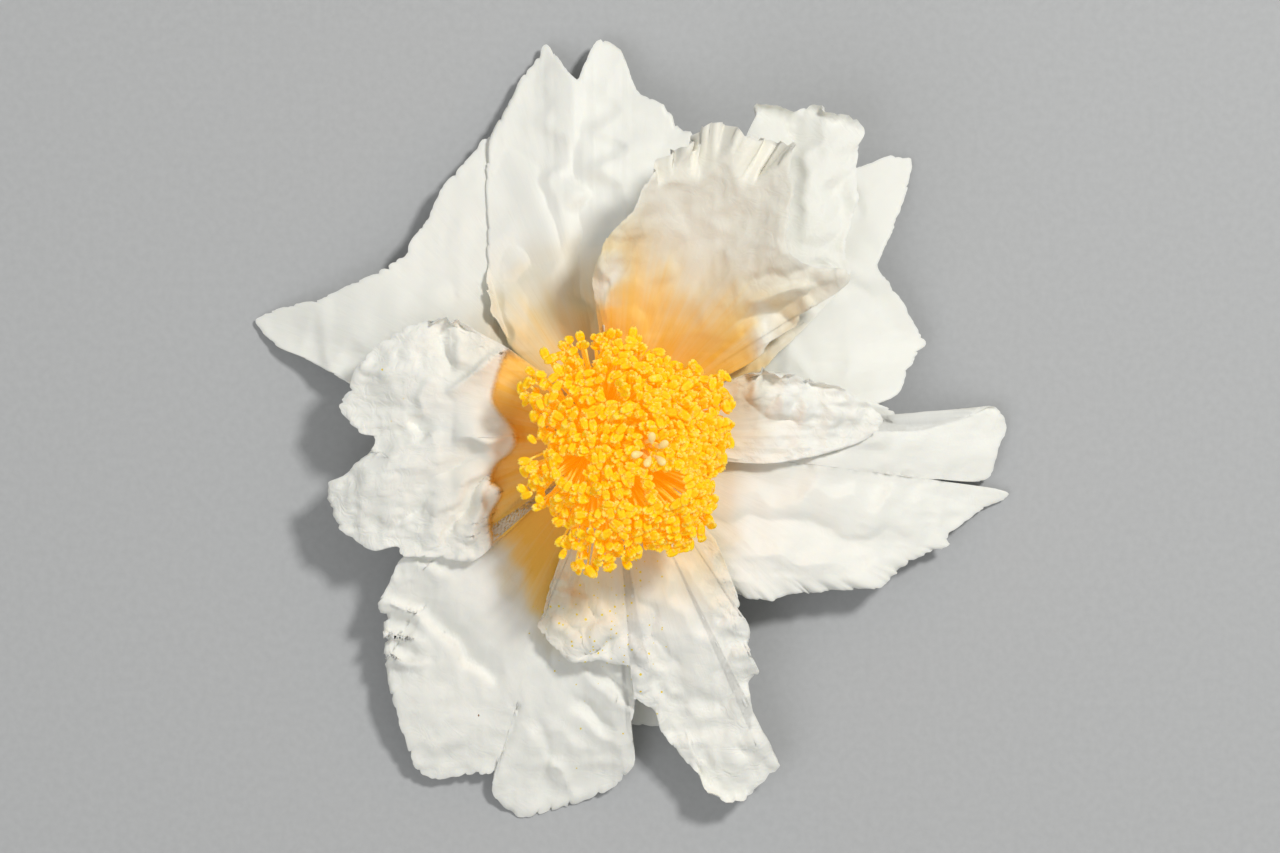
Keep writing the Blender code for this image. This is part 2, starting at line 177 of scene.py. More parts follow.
# %% Line, noise and ridge
def smooth_line(points, count):
    """Catmull-Rom curve: between two knots the path is a cubic whose slope at a knot is half the step
    between that knot's neighbours. It is then resampled at equal lengths."""
    knots = np.array(points, float)
    knots = np.vstack([2 * knots[0] - knots[1], knots, 2 * knots[-1] - knots[-2]])
    a, b, c, d = (knots[k:len(knots) - 3 + k, None] for k in range(4))
    t = np.linspace(0, 1, 24, endpoint=False)[None, :, None]
    curve = b + 0.5 * t * (c - a + t * (2 * a - 5 * b + 4 * c - d + t * (3 * (b - c) + d - a)))
    line = np.vstack([curve.reshape(-1, knots.shape[1]), knots[-2:-1]])
    run = np.concatenate([[0], np.cumsum(np.linalg.norm(np.diff(line, axis=0), axis=1))])
    stations = np.linspace(0, run[-1], count)
    return np.stack([np.interp(stations, run, column) for column in line.T], axis=1)


def soft_step(value, low, high):
    """0 below low, 1 above high, and an S of 3x^2 - 2x^3 between."""
    x = np.clip((value - low) / (high - low), 0, 1)
    return x * x * (3 - 2 * x)


def soft_noise(a, b, seed):
    """Random heights from -1 to 1 on a lattice, blended between the four nearest by an S curve."""
    table = np.random.default_rng(seed).uniform(-1, 1, (97, 97))
    i, j = np.floor(a).astype(int), np.floor(b).astype(int)
    f, g = soft_step(a - i, 0, 1), soft_step(b - j, 0, 1)
    corner = [table[(i + p) % 97, (j + q) % 97] for p in (0, 1) for q in (0, 1)]
    near = corner[0] * (1 - g) + corner[1] * g
    return near * (1 - f) + (corner[2] * (1 - g) + corner[3] * g) * f


def crease_noise(a, b, seed):
    """Folded noise: one minus twice the size of soft noise, at two scales, so it has sharp crests."""
    coarse = 1 - 2 * np.abs(soft_noise(a, b, seed))
    fine = 1 - 2 * np.abs(soft_noise(2.1 * a + 5, 2.1 * b + 3, seed + 1))
    return 0.68 * coarse + 0.32 * fine


def ridge(x, y, start, end, width):
    """A wandering hill along a segment: e to the minus distance to 1.4, in units of 0.75 widths on one
    side and of 2.4 widths on the other, times a sine to 0.7 that thins it out towards both ends. The
    low power gives it the sharp crest of a crease."""
    start, end = np.array(start, float), np.array(end, float)
    run = end - start
    length = max(np.hypot(*run), 1e-6)
    along = ((x - start[0]) * run[0] + (y - start[1]) * run[1]) / length
    wander = 0.9 * width * soft_noise(along / 3.1 + start[0], 0 * along + start[1], 4)
    gap = ((y - start[1]) * run[0] - (x - start[0]) * run[1]) / length + wander
    beyond = np.maximum(np.maximum(-along, along - length), 0)
    side = np.where(gap > 0, 0.75 * width, 2.4 * width)
    taper = np.sin(np.pi * np.clip(0.08 + 0.84 * along / length, 0.02, 0.98)) ** 0.7
    return np.exp(-(np.abs(gap / side) ** 1.4) - (beyond / width) ** 2) * taper


def groove(x, y, start, end, width):
    """A flat-bottomed trough along a segment: 1 inside, 0 outside, with steep S-shaped walls, and
    pointed at both ends."""
    start, end = np.array(start, float), np.array(end, float)
    run = end - start
    length = max(np.hypot(*run), 1e-6)
    share = ((x - start[0]) * run[0] + (y - start[1]) * run[1]) / length**2
    gap = ((y - start[1]) * run[0] - (x - start[0]) * run[1]) / length
    half = 0.5 * width * np.sqrt(np.clip(4 * share * (1 - share), 0, 1))
    ends = soft_step(np.minimum(share, 1 - share) * length, 0, 0.8)
    return ends * (1 - soft_step(np.abs(gap), half - 0.1, half + 0.45))


print("soft noise, three steps of a half:", soft_noise(np.arange(3) / 2, np.zeros(3), 1).round(2))

# %% [markdown]
# ## From an array to a mesh
# Blender takes flat lists, so a grid of points becomes vertices with one call and faces with another.
# A petal is thin but not a plane: it gets two faces a hair apart that meet along its edge, so light
# can soak into it, and the mesh is closed. A Solidify modifier would do the same with a square rim;
# done here, the tissue can thin out to its edge.

# %% Mesh makers
RIM_THINNING = 1.0


def make_mesh(name, points, faces, uv=None):
    """A mesh from (n, 3) points in mm and a list of index arrays, one for each number of corners."""
    corners = np.concatenate([group.ravel() for group in faces])
    sizes = np.concatenate([np.full(len(group), group.shape[1]) for group in faces])
    mesh = bpy.data.meshes.new(name)
    mesh.vertices.add(len(points))
    mesh.vertices.foreach_set("co", (np.asarray(points) * MM).astype(np.float32).ravel())
    mesh.loops.add(len(corners))
    mesh.loops.foreach_set("vertex_index", corners.astype(np.int32))
    mesh.polygons.add(len(sizes))
    mesh.polygons.foreach_set("loop_start", (np.cumsum(sizes) - sizes).astype(np.int32))
    if uv is not None:
        layer = mesh.uv_layers.new(name="surface")
        layer.data.foreach_set("uv", uv[corners].astype(np.float32).ravel())
    mesh.update(calc_edges=True)
    mesh.validate()
    mesh.shade_smooth()
    return mesh


def add_piece(name, mesh, materials, node):
    """Put a finished mesh in the scene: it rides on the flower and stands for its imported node."""
    piece = bpy.data.objects.new(name, mesh)
    bpy.context.scene.collection.objects.link(piece)
    for material in materials:
        mesh.materials.append(material)
    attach(piece, "root")
    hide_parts(node)
    return piece


def add_values(mesh, name, values):
    """Store one number for each vertex, for a material to read."""
    mesh.attributes.new(name, "FLOAT", "POINT").data.foreach_set("value", values.ravel())


def grid_quads(index):
    """The faces between neighbouring rows and columns of an index grid."""
    return np.stack([index[:-1, :-1], index[1:, :-1], index[1:, 1:], index[:-1, 1:]], -1).reshape(-1, 4)


def sheet_normals(sheet):
    """The cross product of the slopes along and across, one unit long. Where the two run nearly side by
    side, as they do beside a notch, the mean of the place is taken instead."""
    down, over = np.gradient(sheet, axis=0), np.gradient(sheet, axis=1)
    normal = np.cross(down, over)
    area = np.linalg.norm(normal, axis=-1)
    lean = area / np.maximum(np.linalg.norm(down, axis=-1) * np.linalg.norm(over, axis=-1), 1e-9)
    own = soft_step(lean, 0.2, 0.7)[..., None]
    mean = np.stack([settle(sheet[..., 0], sheet[..., 1], normal[..., k]) for k in range(3)], axis=-1)
    mean = mean / np.maximum(np.linalg.norm(mean, axis=-1, keepdims=True), 1e-9)
    normal = own * normal / np.maximum(area, 1e-9)[..., None] + (1 - own) * mean
    return normal / np.maximum(np.linalg.norm(normal, axis=-1, keepdims=True), 1e-9)


def sheet_faces(middle, thickness):
    """Two faces of a sheet: each point moved half the thickness both ways along its normal. The
    thickness falls off as a quarter circle over the last millimetre, so both meet at the edge."""
    rows, columns = middle.shape[:2]
    step_u = np.linalg.norm(np.diff(middle, axis=0), axis=-1).mean()
    step_v = np.linalg.norm(np.diff(middle, axis=1), axis=-1).mean()
    row = np.arange(rows)[:, None] * step_u
    column = np.arange(columns)[None, :] * step_v
    edge = np.minimum(np.minimum(row, row[::-1]), np.minimum(column, column[:, ::-1]))
    near = np.clip(edge / RIM_THINNING, 0, 1)
    half = 0.5 * thickness * np.sqrt(1 - (1 - near) ** 2)
    lift = sheet_normals(middle) * half[..., None]
    top = np.arange(rows * columns).reshape(rows, columns)
    under = top.copy()
    under[1:-1, 1:-1] = rows * columns + np.arange((rows - 2) * (columns - 2)).reshape(rows - 2, -1)
    points = np.vstack([(middle + lift).reshape(-1, 3), (middle - lift)[1:-1, 1:-1].reshape(-1, 3)])
    quads = np.vstack([grid_quads(top), grid_quads(under)[:, ::-1]])
    return points, quads


def sharpen_rim(mesh, rows, columns):
    """Mark the edge loop where a sheet's two faces meet as sharp, so that neither face is shaded as if
    it turned down there."""
    on_rim = np.zeros(len(mesh.vertices), bool)
    index = np.arange(rows * columns).reshape(rows, columns)
    on_rim[np.concatenate([index[0], index[-1], index[:, 0], index[:, -1]])] = True
    ends = np.empty(2 * len(mesh.edges), np.int32)
    mesh.edges.foreach_get("vertices", ends)
    sharp = on_rim[ends.reshape(-1, 2)].all(axis=1)
    mesh.attributes.new("sharp_edge", "BOOLEAN", "EDGE").data.foreach_set("value", sharp)


def both_sides(values):
    """Per-point numbers of a sheet, repeated for the inner points of its underside."""
    flat = values.reshape(-1, *values.shape[2:])
    inner = values[1:-1, 1:-1].reshape(-1, *values.shape[2:])
    return np.concatenate([flat, inner])


print("faces on a grid of 3 by 4 points:", len(grid_quads(np.arange(12).reshape(3, 4))))

# %% [markdown]
# ## A pile of petals
# Real petals never pass through each other: each lies on the ones that opened before it. A height map
# of the pile keeps that true. It spreads outwards with a gentle slope, as a tent does over its poles,
# and each new petal is raised wherever it would sink below that tent. A cloth simulation could settle
# them too, but it would pull the folds out of the tissue and take minutes.

# %% The pile
CELL = 0.5
REACH = 140
AIR = 0.25
SLOPE = 0.45
SETTLE_CELL = 1.5
SETTLE_REACH = 50
EMPTY = -100.0
pile = np.full((2 * REACH + 1, 2 * REACH + 1), EMPTY)
print("height map:", pile.shape, "cells of", CELL, "mm")


def pile_cells(sheet):
    """The height map's cells under a sheet's points."""
    return np.clip(np.rint(sheet[..., :2] / CELL).astype(int) + REACH, 0, 2 * REACH)


def read_map(height_map, x, y, cell):
    """The map's value at places in mm, blended between the four cells round each."""
    middle = (len(height_map) - 1) // 2
    a, b = (np.clip(value / cell + middle, 0, 2 * middle - 0.001) for value in (x, y))
    i, j = np.floor(a).astype(int), np.floor(b).astype(int)
    f, g = a - i, b - j
    low = height_map[i, j] * (1 - g) + height_map[i, j + 1] * g
    return low * (1 - f) + (height_map[i + 1, j] * (1 - g) + height_map[i + 1, j + 1] * g) * f


def blur(height_map, times):
    """Each cell becomes a quarter of both neighbours and half of itself, along both axes."""
    for _ in range(times):
        for axis in (0, 1):
            height_map = (np.roll(height_map, 1, axis) + 2 * height_map + np.roll(height_map, -1, axis)) / 4
    return height_map


def settle(x, y, values):
    """One value for rays that run side by side: the mean in cells of 1.5 mm, blurred, and read back at
    each point. Without it, a long ray and a short one beside it would leave a step."""
    side = 2 * SETTLE_REACH + 1
    total, weight = np.zeros((side, side)), np.full((side, side), 1e-9)
    cells = tuple(np.clip(np.rint(place / SETTLE_CELL).astype(int) + SETTLE_REACH, 0, side - 1)
                  for place in (x, y))
    np.add.at(total, cells, values)
    np.add.at(weight, cells, 1)
    return read_map(blur(total, 2) / blur(weight, 2), x, y, SETTLE_CELL)


def tent():
    """The pile spread sideways, falling by SLOPE for each millimetre, then smoothed twice."""
    spread = pile.copy()
    for _ in range(30):
        for axis in (0, 1):
            for shift in (-1, 1):
                spread = np.maximum(spread, np.roll(spread, shift, axis) - SLOPE * CELL)
    return blur(spread, 3)


def lay_on_pile(sheet, thickness, claw_radius):
    """Raise a sheet over the pile, except at its claw, and add it to the pile."""
    floor = read_map(tent(), sheet[..., 0], sheet[..., 1], CELL)
    out = np.hypot(sheet[..., 0] - AXIS[0], sheet[..., 1] - AXIS[1]) - claw_radius
    raise_by = np.maximum(floor + AIR + 0.5 * thickness - sheet[..., 2], 0) * np.clip(out / 3, 0, 1)
    sheet[..., 2] += raise_by
    cells = pile_cells(sheet)
    np.maximum.at(pile, (cells[..., 0], cells[..., 1]), sheet[..., 2] + 0.5 * thickness)
    return sheet


# %% [markdown]
# The stamens spread over the petals' claws, and each claw is stained about as far as they reach; the
# same colour also paints the golden light they throw on the claws. So the outline of the brush is set
# down before the petals: how far its heads reach in each direction.

# %% The brush's outline
# The middle of the heads, and how far they reach from it, as (direction in degrees, mm).
BRUSH_HEAD = np.array((3.0, -3.4))
BRUSH_REACH = np.array((
    (0, 11.8), (20, 14.0), (45, 17.6), (76, 14.6), (105, 20.8), (135, 22.4), (155, 23.0),
    (172, 18.2), (198, 22.4), (215, 18.8), (242, 22.6), (268, 15.6), (298, 17.0), (333, 10.6)))
print("the brush reaches", BRUSH_REACH[:, 1].min(), "to", BRUSH_REACH[:, 1].max(), "mm")


# %% [markdown]
# ## The petals
# A camellia petal is a fan. Its veins leave a narrow claw and part towards a wide, notched rim. So it
# is a sheet with two parameters: u runs along a vein from claw to rim, v runs across from vein to
# vein. The rim is a smooth line through listed points; folds, ruffles and creases are added on
# top, and creases grow towards the rim, where the tissue is thinnest. One could sculpt each petal by
# hand; a table of rims and folds does it in numbers that are easy to read and to change.

# %% Petal shapes
# name: whorl, claw (direction, half width, degrees), swell mm, (wrinkle, crumple, ruffle) mm,
# rim (x, y, z) mm anticlockwise, and folds as (x1, y1, x2, y2, width, height) mm.
PETALS = {
    "petal_bottom_back": (0, (270, 48), 1.5, (0.15, 0.15, 0.3), (
        (-15, -18, 11.5), (-16, -29, 9), (-12, -39, 6), (-6, -44.5, 3), (3, -47, 0.4),
        (9, -44, 2.5), (14, -36, 6), (15, -27, 9), (12, -17, 11.5)), ()),
    "petal_upper_left": (0, (152, 48), 2.0, (0.10, 0.12, 0.4), (
        (-9, 14, 12), (-12, 30, 10.5), (-18, 42, 6), (-22.4, 46, 3.5), (-25, 42.9, 4.5),
        (-29.8, 37.2, 5.5), (-34.6, 29.9, 7), (-35.9, 27.4, 7), (-41.8, 24, 6),
        (-48.4, 20.6, 4), (-52.8, 19.7, 3), (-58.7, 17.5, 0.5), (-58.2, 15.6, 0.6),
        (-55.6, 13, 2), (-52.3, 11.6, 3), (-48.7, 9.8, 4.5), (-40, 5, 7.5), (-29, 1, 10),
        (-17, -3, 11.5)), (
        (-14, 12, -36, 27, 3.5, -1.2), (-12, 20, -24, 42, 4.0, 1.0), (-22, 12, -50, 15, 5, 1.2))),
    "petal_upper_right_back": (0, (27, 48), 1.5, (0.12, 0.14, 0.5), (
        (14, -1, 12), (28, 1.5, 11.5), (40.4, 4.7, 9), (43.3, 9.3, 6), (44.6, 12, 4.5),
        (46, 13.5, 3.5), (44.7, 15.7, 4), (42.9, 18.9, 5), (40.7, 22.5, 6), (38.8, 25.3, 7),
        (39.3, 27.7, 6.5), (41.2, 32, 5), (43.3, 37.4, 2.5), (44.3, 42.2, 0.5), (43, 43, 0.8),
        (40.4, 43, 1.5), (36.2, 41.4, 3), (30, 38.5, 6), (20, 32, 9), (8, 20, 11.5)), (
        (14, 8, 39, 24, 3.5, -1.2), (20, 6, 43, 13, 4, 1.0), (24, 24, 42, 40, 4, 1.0))),
    "petal_lower_left": (1, (232, 47), 3.0, (0.35, 0.38, 1.0), (
        (-20, -9, 14), (-29, -15, 13), (-35.7, -20, 11), (-38, -24.3, 10), (-39.9, -27.6, 9),
        (-39, -31, 8.5), (-38.8, -38.9, 6.5), (-37, -44.3, 5), (-35.3, -48.7, 3.5),
        (-33.9, -52.9, 2), (-31, -54.4, 1.2), (-26.3, -54, 1.6), (-22.6, -53.9, 2.5),
        (-21.3, -53.3, 3.0), (-21.8, -56.6, 1.5), (-18.7, -60.3, 0.6), (-17, -61.2, 0.5),
        (-13.6, -60.8, 0.6), (-8.6, -59.5, 0.8), (-5.3, -57.8, 1.8), (-2.6, -56, 3),
        (0.5, -51.9, 5), (-0.7, -47.4, 6.5), (0.5, -43.7, 8), (1, -31, 11), (1, -18, 13.5)), (
        (-17.6, -44, -18.4, -44.4, 0.8, -0.3), (-16.0, -46, -9, -58, 1.1, 1.0),
        (-14, -46, -6, -52, 1.6, 0.9), (-18.6, -45, -21.5, -54, 0.8, -0.8),
        (-15, -45, -13, -57, 1.0, -1.2), (-10, -44, -2, -49, 0.9, 0.8),
        (-21.8, -39.6, -33.0, -27.0, 1.0, -2.0), (-39.5, -26.6, -32.5, -29.0, 0.6, 1.2),
        (-40, -29.3, -33, -31.0, 0.6, -0.7), (-40, -30.6, -32.5, -33, 0.6, 1.3),
        (-39.6, -33, -33, -35.4, 0.6, -0.8), (-39.5, -35.2, -32, -36.6, 0.8, 1.5),
        (-39.5, -37.6, -33, -38, 0.6, -1.0),
        (-33, -16, -27, -19, 0.8, 0.9), (-35, -20, -28, -22.5, 0.8, 0.8), (-25, -44, -31, -52, 3.0, 0.8),
        (-8, -38, -1, -44, 0.7, 1.0), (-5, -37, 0, -41, 0.6, -0.9), (-9, -41, -3, -47, 0.6, -0.8),
        (-11, -20, -12, -36, 0.7, -0.8))),
    "petal_right": (1, (350, 48), 3.0, (0.45, 0.3, 0.9), (
        (8, -16, 14), (16.7, -25.9, 12), (26.4, -25.7, 10.5), (36.8, -24.8, 8), (39.9, -23.9, 7),
        (44.6, -20.3, 5), (49.7, -18.2, 4), (50, -16.9, 4), (55.3, -12.8, 2), (59, -10.9, 0.8),
        (58.4, -9.5, 1.0), (48.5, -8.0, 4), (48.3, -7.8, 4.2), (55.5, -7.8, 1.6), (57.7, -2.9, 0.8),
        (58.7, 0.5, 0.5), (56, 3.6, 0.8), (50.6, 1.2, 3), (44, -0.3, 6.5), (41.5, 1.7, 8),
        (39.9, 3.6, 9), (30, 6.5, 12), (17, 6, 14)), (
        (14, -6, 44, -8.4, 2.4, -0.5), (16, -2, 44, -2, 2.6, 1.4), (16, -10, 50, -12, 2.4, 1.2),
        (12, -14, 42, -17, 1.6, -1.0), (14, -18, 38, -22, 2.0, 1.0), (30, 2, 42, 1, 1.5, 0.9))),
    "petal_top": (1, (100, 48), 3.0, (0.18, 0.14, 0.6), (
        (4, 13, 14), (6, 25, 13.5), (8.5, 36, 12), (9.3, 43.5, 10.5), (9.4, 46.8, 9.5),
        (7.5, 47.9, 9), (5.2, 50.5, 8), (1.2, 52.9, 6.5), (-0.9, 58.1, 4), (-2.2, 61.2, 2.5),
        (-5.3, 60.9, 3.5), (-7.5, 57, 5.0), (-8.8, 55, 6), (-11.7, 58.9, 3), (-13.6, 60.6, 0.5),
        (-14.8, 58.4, 1.5), (-19, 52.5, 3.4), (-22.4, 45.7, 5), (-22.6, 32.7, 7.5), (-22, 22, 9.5),
        (-19, 13, 12)), (
        (-6, 12, -8.8, 54, 2.2, -1.8), (-10, 14, -13.5, 58, 3.2, 1.4), (-1, 16, -3.5, 58, 3.0, 1.4),
        (-15, 14, -20, 44, 2.2, -0.8), (-18, 12, -20, 22, 1.4, 1.2), (3, 20, 4, 48, 2.5, -0.7))),
    "petal_upper_right": (2, (55, 44), 3.0, (0.15, 0.45, 1.1), (
        (19, 8, 16), (28, 17, 16), (33.7, 23.6, 15.5), (33.2, 27.7, 15.3), (34, 31.3, 15),
        (35, 35.7, 14.3), (35, 39.8, 13.5), (35.3, 43.9, 12), (36.2, 46.2, 11), (34.6, 47.9, 10.5),
        (31.5, 49, 10), (29.7, 50.5, 9.5), (27.7, 50.5, 9.5), (24.4, 49.3, 10), (22.2, 50, 10),
        (19.9, 50.4, 10.5), (20.5, 47, 11.5), (21.9, 44.2, 12), (14, 36, 14), (7, 26, 15.5),
        (2, 14, 16)), (
        (26, 30, 29, 49, 1.8, 1.6), (31, 28, 34, 44, 1.8, -1.3), (22, 36, 24, 48, 1.6, -1.2))),
    "petal_left": (2, (183, 44), 3.5, (0.35, 0.75, 1.0), (
        (-14, 9, 16), (-21, 13.8, 17), (-28.3, 16.9, 17), (-33.5, 16.6, 16.5), (-38, 14.4, 15.5),
        (-42.5, 10.2, 14), (-44, 6.5, 13), (-45.6, 3.4, 12), (-42.9, -0.3, 13.3), (-40.7, -1.2, 14),
        (-42.7, -4.2, 13), (-45, -7, 12), (-47.5, -8.5, 11), (-47.8, -11.5, 10.5),
        (-45.8, -15.2, 10), (-40.7, -18.6, 10.8), (-37, -18.3, 11.5), (-35.9, -19.5, 11.8),
        (-32.8, -19.7, 12.6), (-27.7, -20.3, 13.5), (-24.4, -20.3, 14.2), (-21.8, -17.8, 15),
        (-22, -14.7, 15.3), (-16, -9, 16)), (
        (-17.5, -1.5, -27, -1.3, 1.6, 2.6), (-32.2, -1.4, -34.0, 1.6, 1.0, -2.2),
        (-33, -0.8, -41, -1.2, 0.8, -1.3), (-41, -2.6, -37, -4.6, 0.9, 1.1), (-33, 2.0, -31, 8, 1.0, 0.9),
        (-29.0, 16, -28.2, 9, 0.6, -1.2), (-27.8, 5.6, -20, 12, 0.7, 1.6), (-24, 9, -28, 13, 1.6, 0.9),
        (-38, 5, -34, 13, 2.4, 0.9), (-21, -4, -30, -13, 0.8, 1.1), (-21.5, -5.5, -28, -16, 0.7, -1.0),
        (-21.8, -7, -25.5, -17, 0.7, 1.1), (-23.5, -3.5, -33, -9, 1.0, -0.9),
        (-31, -10, -36.5, -15.5, 0.6, -0.8), (-30, -5, -42, -8, 2.6, 1.1),
        (-35, -12, -43, -14, 2.0, 0.7), (-28, -13, -32, -18, 0.8, 0.9))),
    "petal_bottom": (2, (283, 44), 3.0, (0.35, 0.75, 1.2), (
        (-9, -14, 15.5), (-12.5, -24, 13.8), (-13.4, -28.4, 12.8), (-14.2, -30.5, 12.3),
        (-10.5, -34.6, 11.4), (-8.3, -35.7, 11), (-4.7, -36, 10.8), (0.5, -36.8, 10.6),
        (2.7, -37.6, 10.5), (0.7, -40, 10), (0.5, -42.3, 9.6), (3.5, -43.6, 9.3), (4.6, -47, 8.5),
        (7.7, -51.3, 7), (10.2, -53.5, 6), (12, -56, 5), (16, -57, 4.5), (19, -55.5, 4.5),
        (23, -52.2, 5.5), (19.8, -49, 7.2), (18.4, -46.5, 8), (19, -44.5, 8.8), (18.4, -39.8, 10.2),
        (19.9, -38, 10.6), (18.4, -34.6, 11.6), (18.4, -30.8, 12.5), (16.4, -28.4, 13.2),
        (16.8, -26.4, 13.6), (13, -17, 15.5)), (
        (3, -21, 13, -36, 1.7, 1.3), (6, -20, 16, -30, 1.3, 1.0), (0, -23, 9, -41, 1.6, -0.9),
        (15, -28, 19, -30, 1.3, 1.4), (16, -34, 20, -36, 1.3, 1.4), (16, -41, 19, -42, 1.3, 1.2),
        (-12, -25, -6, -27, 0.9, 0.9), (-13.4, -29, -8, -32, 0.9, 1.2), (-8, -21, -5, -30, 0.8, -0.9),
        (-4, -27, -1, -35, 0.9, 1.1), (0.5, -32, 3, -40, 0.9, 1.4), (-3, -31, -9, -35, 0.7, 1.0),
        (5, -42.5, 15, -42, 1.8, -1.1), (9, -47, 11, -53, 0.8, 0.9), (15, -47, 17, -54, 1.2, 1.0),
        (19, -47, 22, -52, 0.7, 1.4))),
    "petal_inner_right": (3, (6, 14), 0.5, (0.1, 1.0, 0.7), (
        (14, -5, 16.0), (22, -5.2, 14.6), (32, -3.2, 13.2), (38, -0.6, 11.5), (39.2, 1.6, 11.0),
        (37, 4.0, 12.6), (33, 6, 14), (28, 7.5, 15.5), (24, 8.9, 17), (18.5, 8.8, 18),
        (15, 7.6, 18)), (
        (18, 5, 20, 7, 1.2, 1.6), (22.5, 5, 24.5, 3.4, 1.0, 1.4), (26, 4, 28, 2.4, 0.8, 1.0),
        (20.5, 3, 26, 0.5, 0.8, -0.9), (29, 4.5, 33, 2, 1.0, 0.9), (19, 0, 24, -2, 1.4, 0.6))),
    "petal_inner_upper": (3, (68, 36), -3.5, (0.75, 0.45, 0.8), (
        (14, 8.0, 19), (17.5, 9.8, 20.0), (20.2, 11.6, 20.8), (21.4, 13.6, 22.4), (25.2, 15.9, 23.0),
        (26.2, 18.2, 25.0), (30.4, 20.5, 25.4), (33.4, 22.8, 27), (32.0, 24.4, 28), (27.2, 25, 29.5),
        (23.6, 27.4, 31), (23.6, 31.3, 32), (24.6, 36.7, 33), (24.3, 39.8, 33.2), (24.3, 44.2, 33.5),
        (22, 43.9, 33.5),
        (18, 44.2, 33.3), (16.2, 45.9, 33), (10.9, 44.6, 32.5), (6.6, 41.4, 32), (2.4, 38, 31),
        (0.2, 34.3, 30), (-4, 29.3, 28.5), (-5.8, 24.2, 26.5), (-6, 22.5, 25), (-3.5, 14, 21)), (
        (5, 18, 10, 36, 2.0, -0.9), (10, 16, 20, 40, 2.2, 0.9), (17, 16.5, 31, 22.6, 1.2, -2.0),
        (19, 19.2, 33, 24.0, 0.9, 1.6), (18, 22, 30, 27, 0.9, -1.3), (18.5, 17, 21.5, 12.5, 0.9, 1.3),
        (22, 19, 25.5, 15.5, 0.8, -1.0), (26, 21, 28.5, 18.0, 0.8, 1.1), (-1, 24, 3, 34, 1.4, -1.4),
        (1.5, 15, 0, 29, 1.5, -1.8), (-4.0, 16, -3.5, 28, 1.6, 1.5))),
}
# name: flat-bottomed troughs in the tissue, as (x1, y1, x2, y2, width, depth) mm.
GROOVES = {
    "petal_lower_left": ((-18.6, -43.2, -17.0, -43.9, 0.6, 0.8),),
}
# name: a free edge of white tissue over the stained base, as points (x, y) from low y to high, and how
# far the base lies below it. The tissue is on the low x side of the line.
LIPS = {"petal_left": (((-21.8, -17.8), (-22.3, -14.5), (-22.1, -12.9), (-20.4, -9.8), (-22.1, -8.1),
                        (-21.2, -5.3), (-19.0, -3.4), (-18.1, -1.6), (-18.9, 0.6), (-21.6, 4.2),
                        (-21.2, 7.5), (-20.0, 11.0), (-19.0, 12.5)), 2.4)}
# name: rolls of the rim, each (x, y, half width, length, bend, angle): the last length mm of the veins
# nearest to (x, y) turn through angle degrees within bend mm, upwards if the angle is positive.
ROLLS = {
    "petal_inner_upper": ((6.2, 40.8, 3.2, 4.5, 0.7, -44), (13.0, 45.0, 4.4, 8.5, 0.7, -46),
                          (21.0, 44.0, 5.2, 8.0, 0.7, -46)),
    "petal_left": ((-28.0, 16.5, 4.5, 2.5, 2.0, 100), (-46.0, -12.0, 4.0, 1.6, 1.5, -80)),
    "petal_inner_right": ((21.5, 8.8, 4.5, 3.0, 2.4, 100), (30.0, 7.0, 3.6, 2.0, 1.4, 110)),
    "petal_bottom": ((14.0, -56.5, 7.0, 3.0, 2.5, 110), (18.5, -33.0, 8.0, 1.5, 1.5, -70),
                     (-12.0, -29.0, 6.0, 1.5, 1.5, 55)),
    "petal_upper_right": ((32.0, 49.0, 6.0, 2.5, 2.0, 90), (22.0, 50.0, 4.5, 2.5, 2.0, 100)),
    "petal_right": ((32.0, -25.5, 22.0, 4.0, 6.0, -30), (56.0, 3.0, 4.5, 1.2, 1.0, 60)),
    "petal_lower_left": ((-39.0, -35.0, 11.0, 1.6, 1.6, -70), (-14.0, -61.0, 9.0, 1.5, 1.5, -60)),
    "petal_top": ((-2.0, 61.0, 3.0, 1.5, 1.5, -70), (8.0, 48.0, 6.0, 1.6, 1.6, -60),
                  (-21.5, 20.0, 6.5, 3.0, 2.4, 80), (-20.0, 50.0, 6.0, 1.5, 1.2, -60)),
}
print("petals to grow:", len(PETALS))

# %% [markdown]
# A real petal's margin is never a clean curve: it is finely notched, and here and there it rolls up or
# down. Notches are cut by moving the rim's points before the sheet is made. Rolls are bent in after
# it, and the rim is first let out by what a roll will take in.

# %% Rim tools
# Notches and waves of the rim, as (spacing, depth) mm.
WIDE_NOTCH, FINE_NOTCH, RIM_WAVE = (2.6, 0.55), (1.0, 0.22), (6.0, 0.4)


def tooth_rim(edge, seed):
    """Cut an uneven, finely notched margin: points move inwards by the folds of two soft noises, one
    notch to about 3 mm and one to about 1 mm, and by a long wave."""
    run = np.concatenate([[0], np.cumsum(np.linalg.norm(np.diff(edge, axis=0), axis=1))])
    wide = np.clip(1 - np.abs(soft_noise(run / WIDE_NOTCH[0], 0 * run, seed)) / 0.4, 0, 1)
    fine = np.clip(1 - np.abs(soft_noise(run / FINE_NOTCH[0], 0 * run, seed + 1)) / 0.5, 0, 1)
    wave = soft_noise(run / RIM_WAVE[0], 0 * run, seed + 2)
    depth = WIDE_NOTCH[1] * wide**2 + FINE_NOTCH[1] * fine - RIM_WAVE[1] * wave
    inward = np.append(AXIS, 0) - edge * (1, 1, 0)
    return edge + depth[:, None] * inward / np.linalg.norm(inward, axis=1, keepdims=True)


def roll_shape(reach, bend, angle):
    """Out and up distances along a strip that first follows an arc of the bend's length and then runs
    straight on at the full angle."""
    full = np.radians(abs(angle))
    radius = bend / full
    arc = np.minimum(reach, bend) / radius
    rest = np.maximum(reach - bend, 0)
    out = radius * np.sin(arc) + rest * np.cos(full)
    return out, np.sign(angle) * (radius * (1 - np.cos(arc)) + rest * np.sin(full))


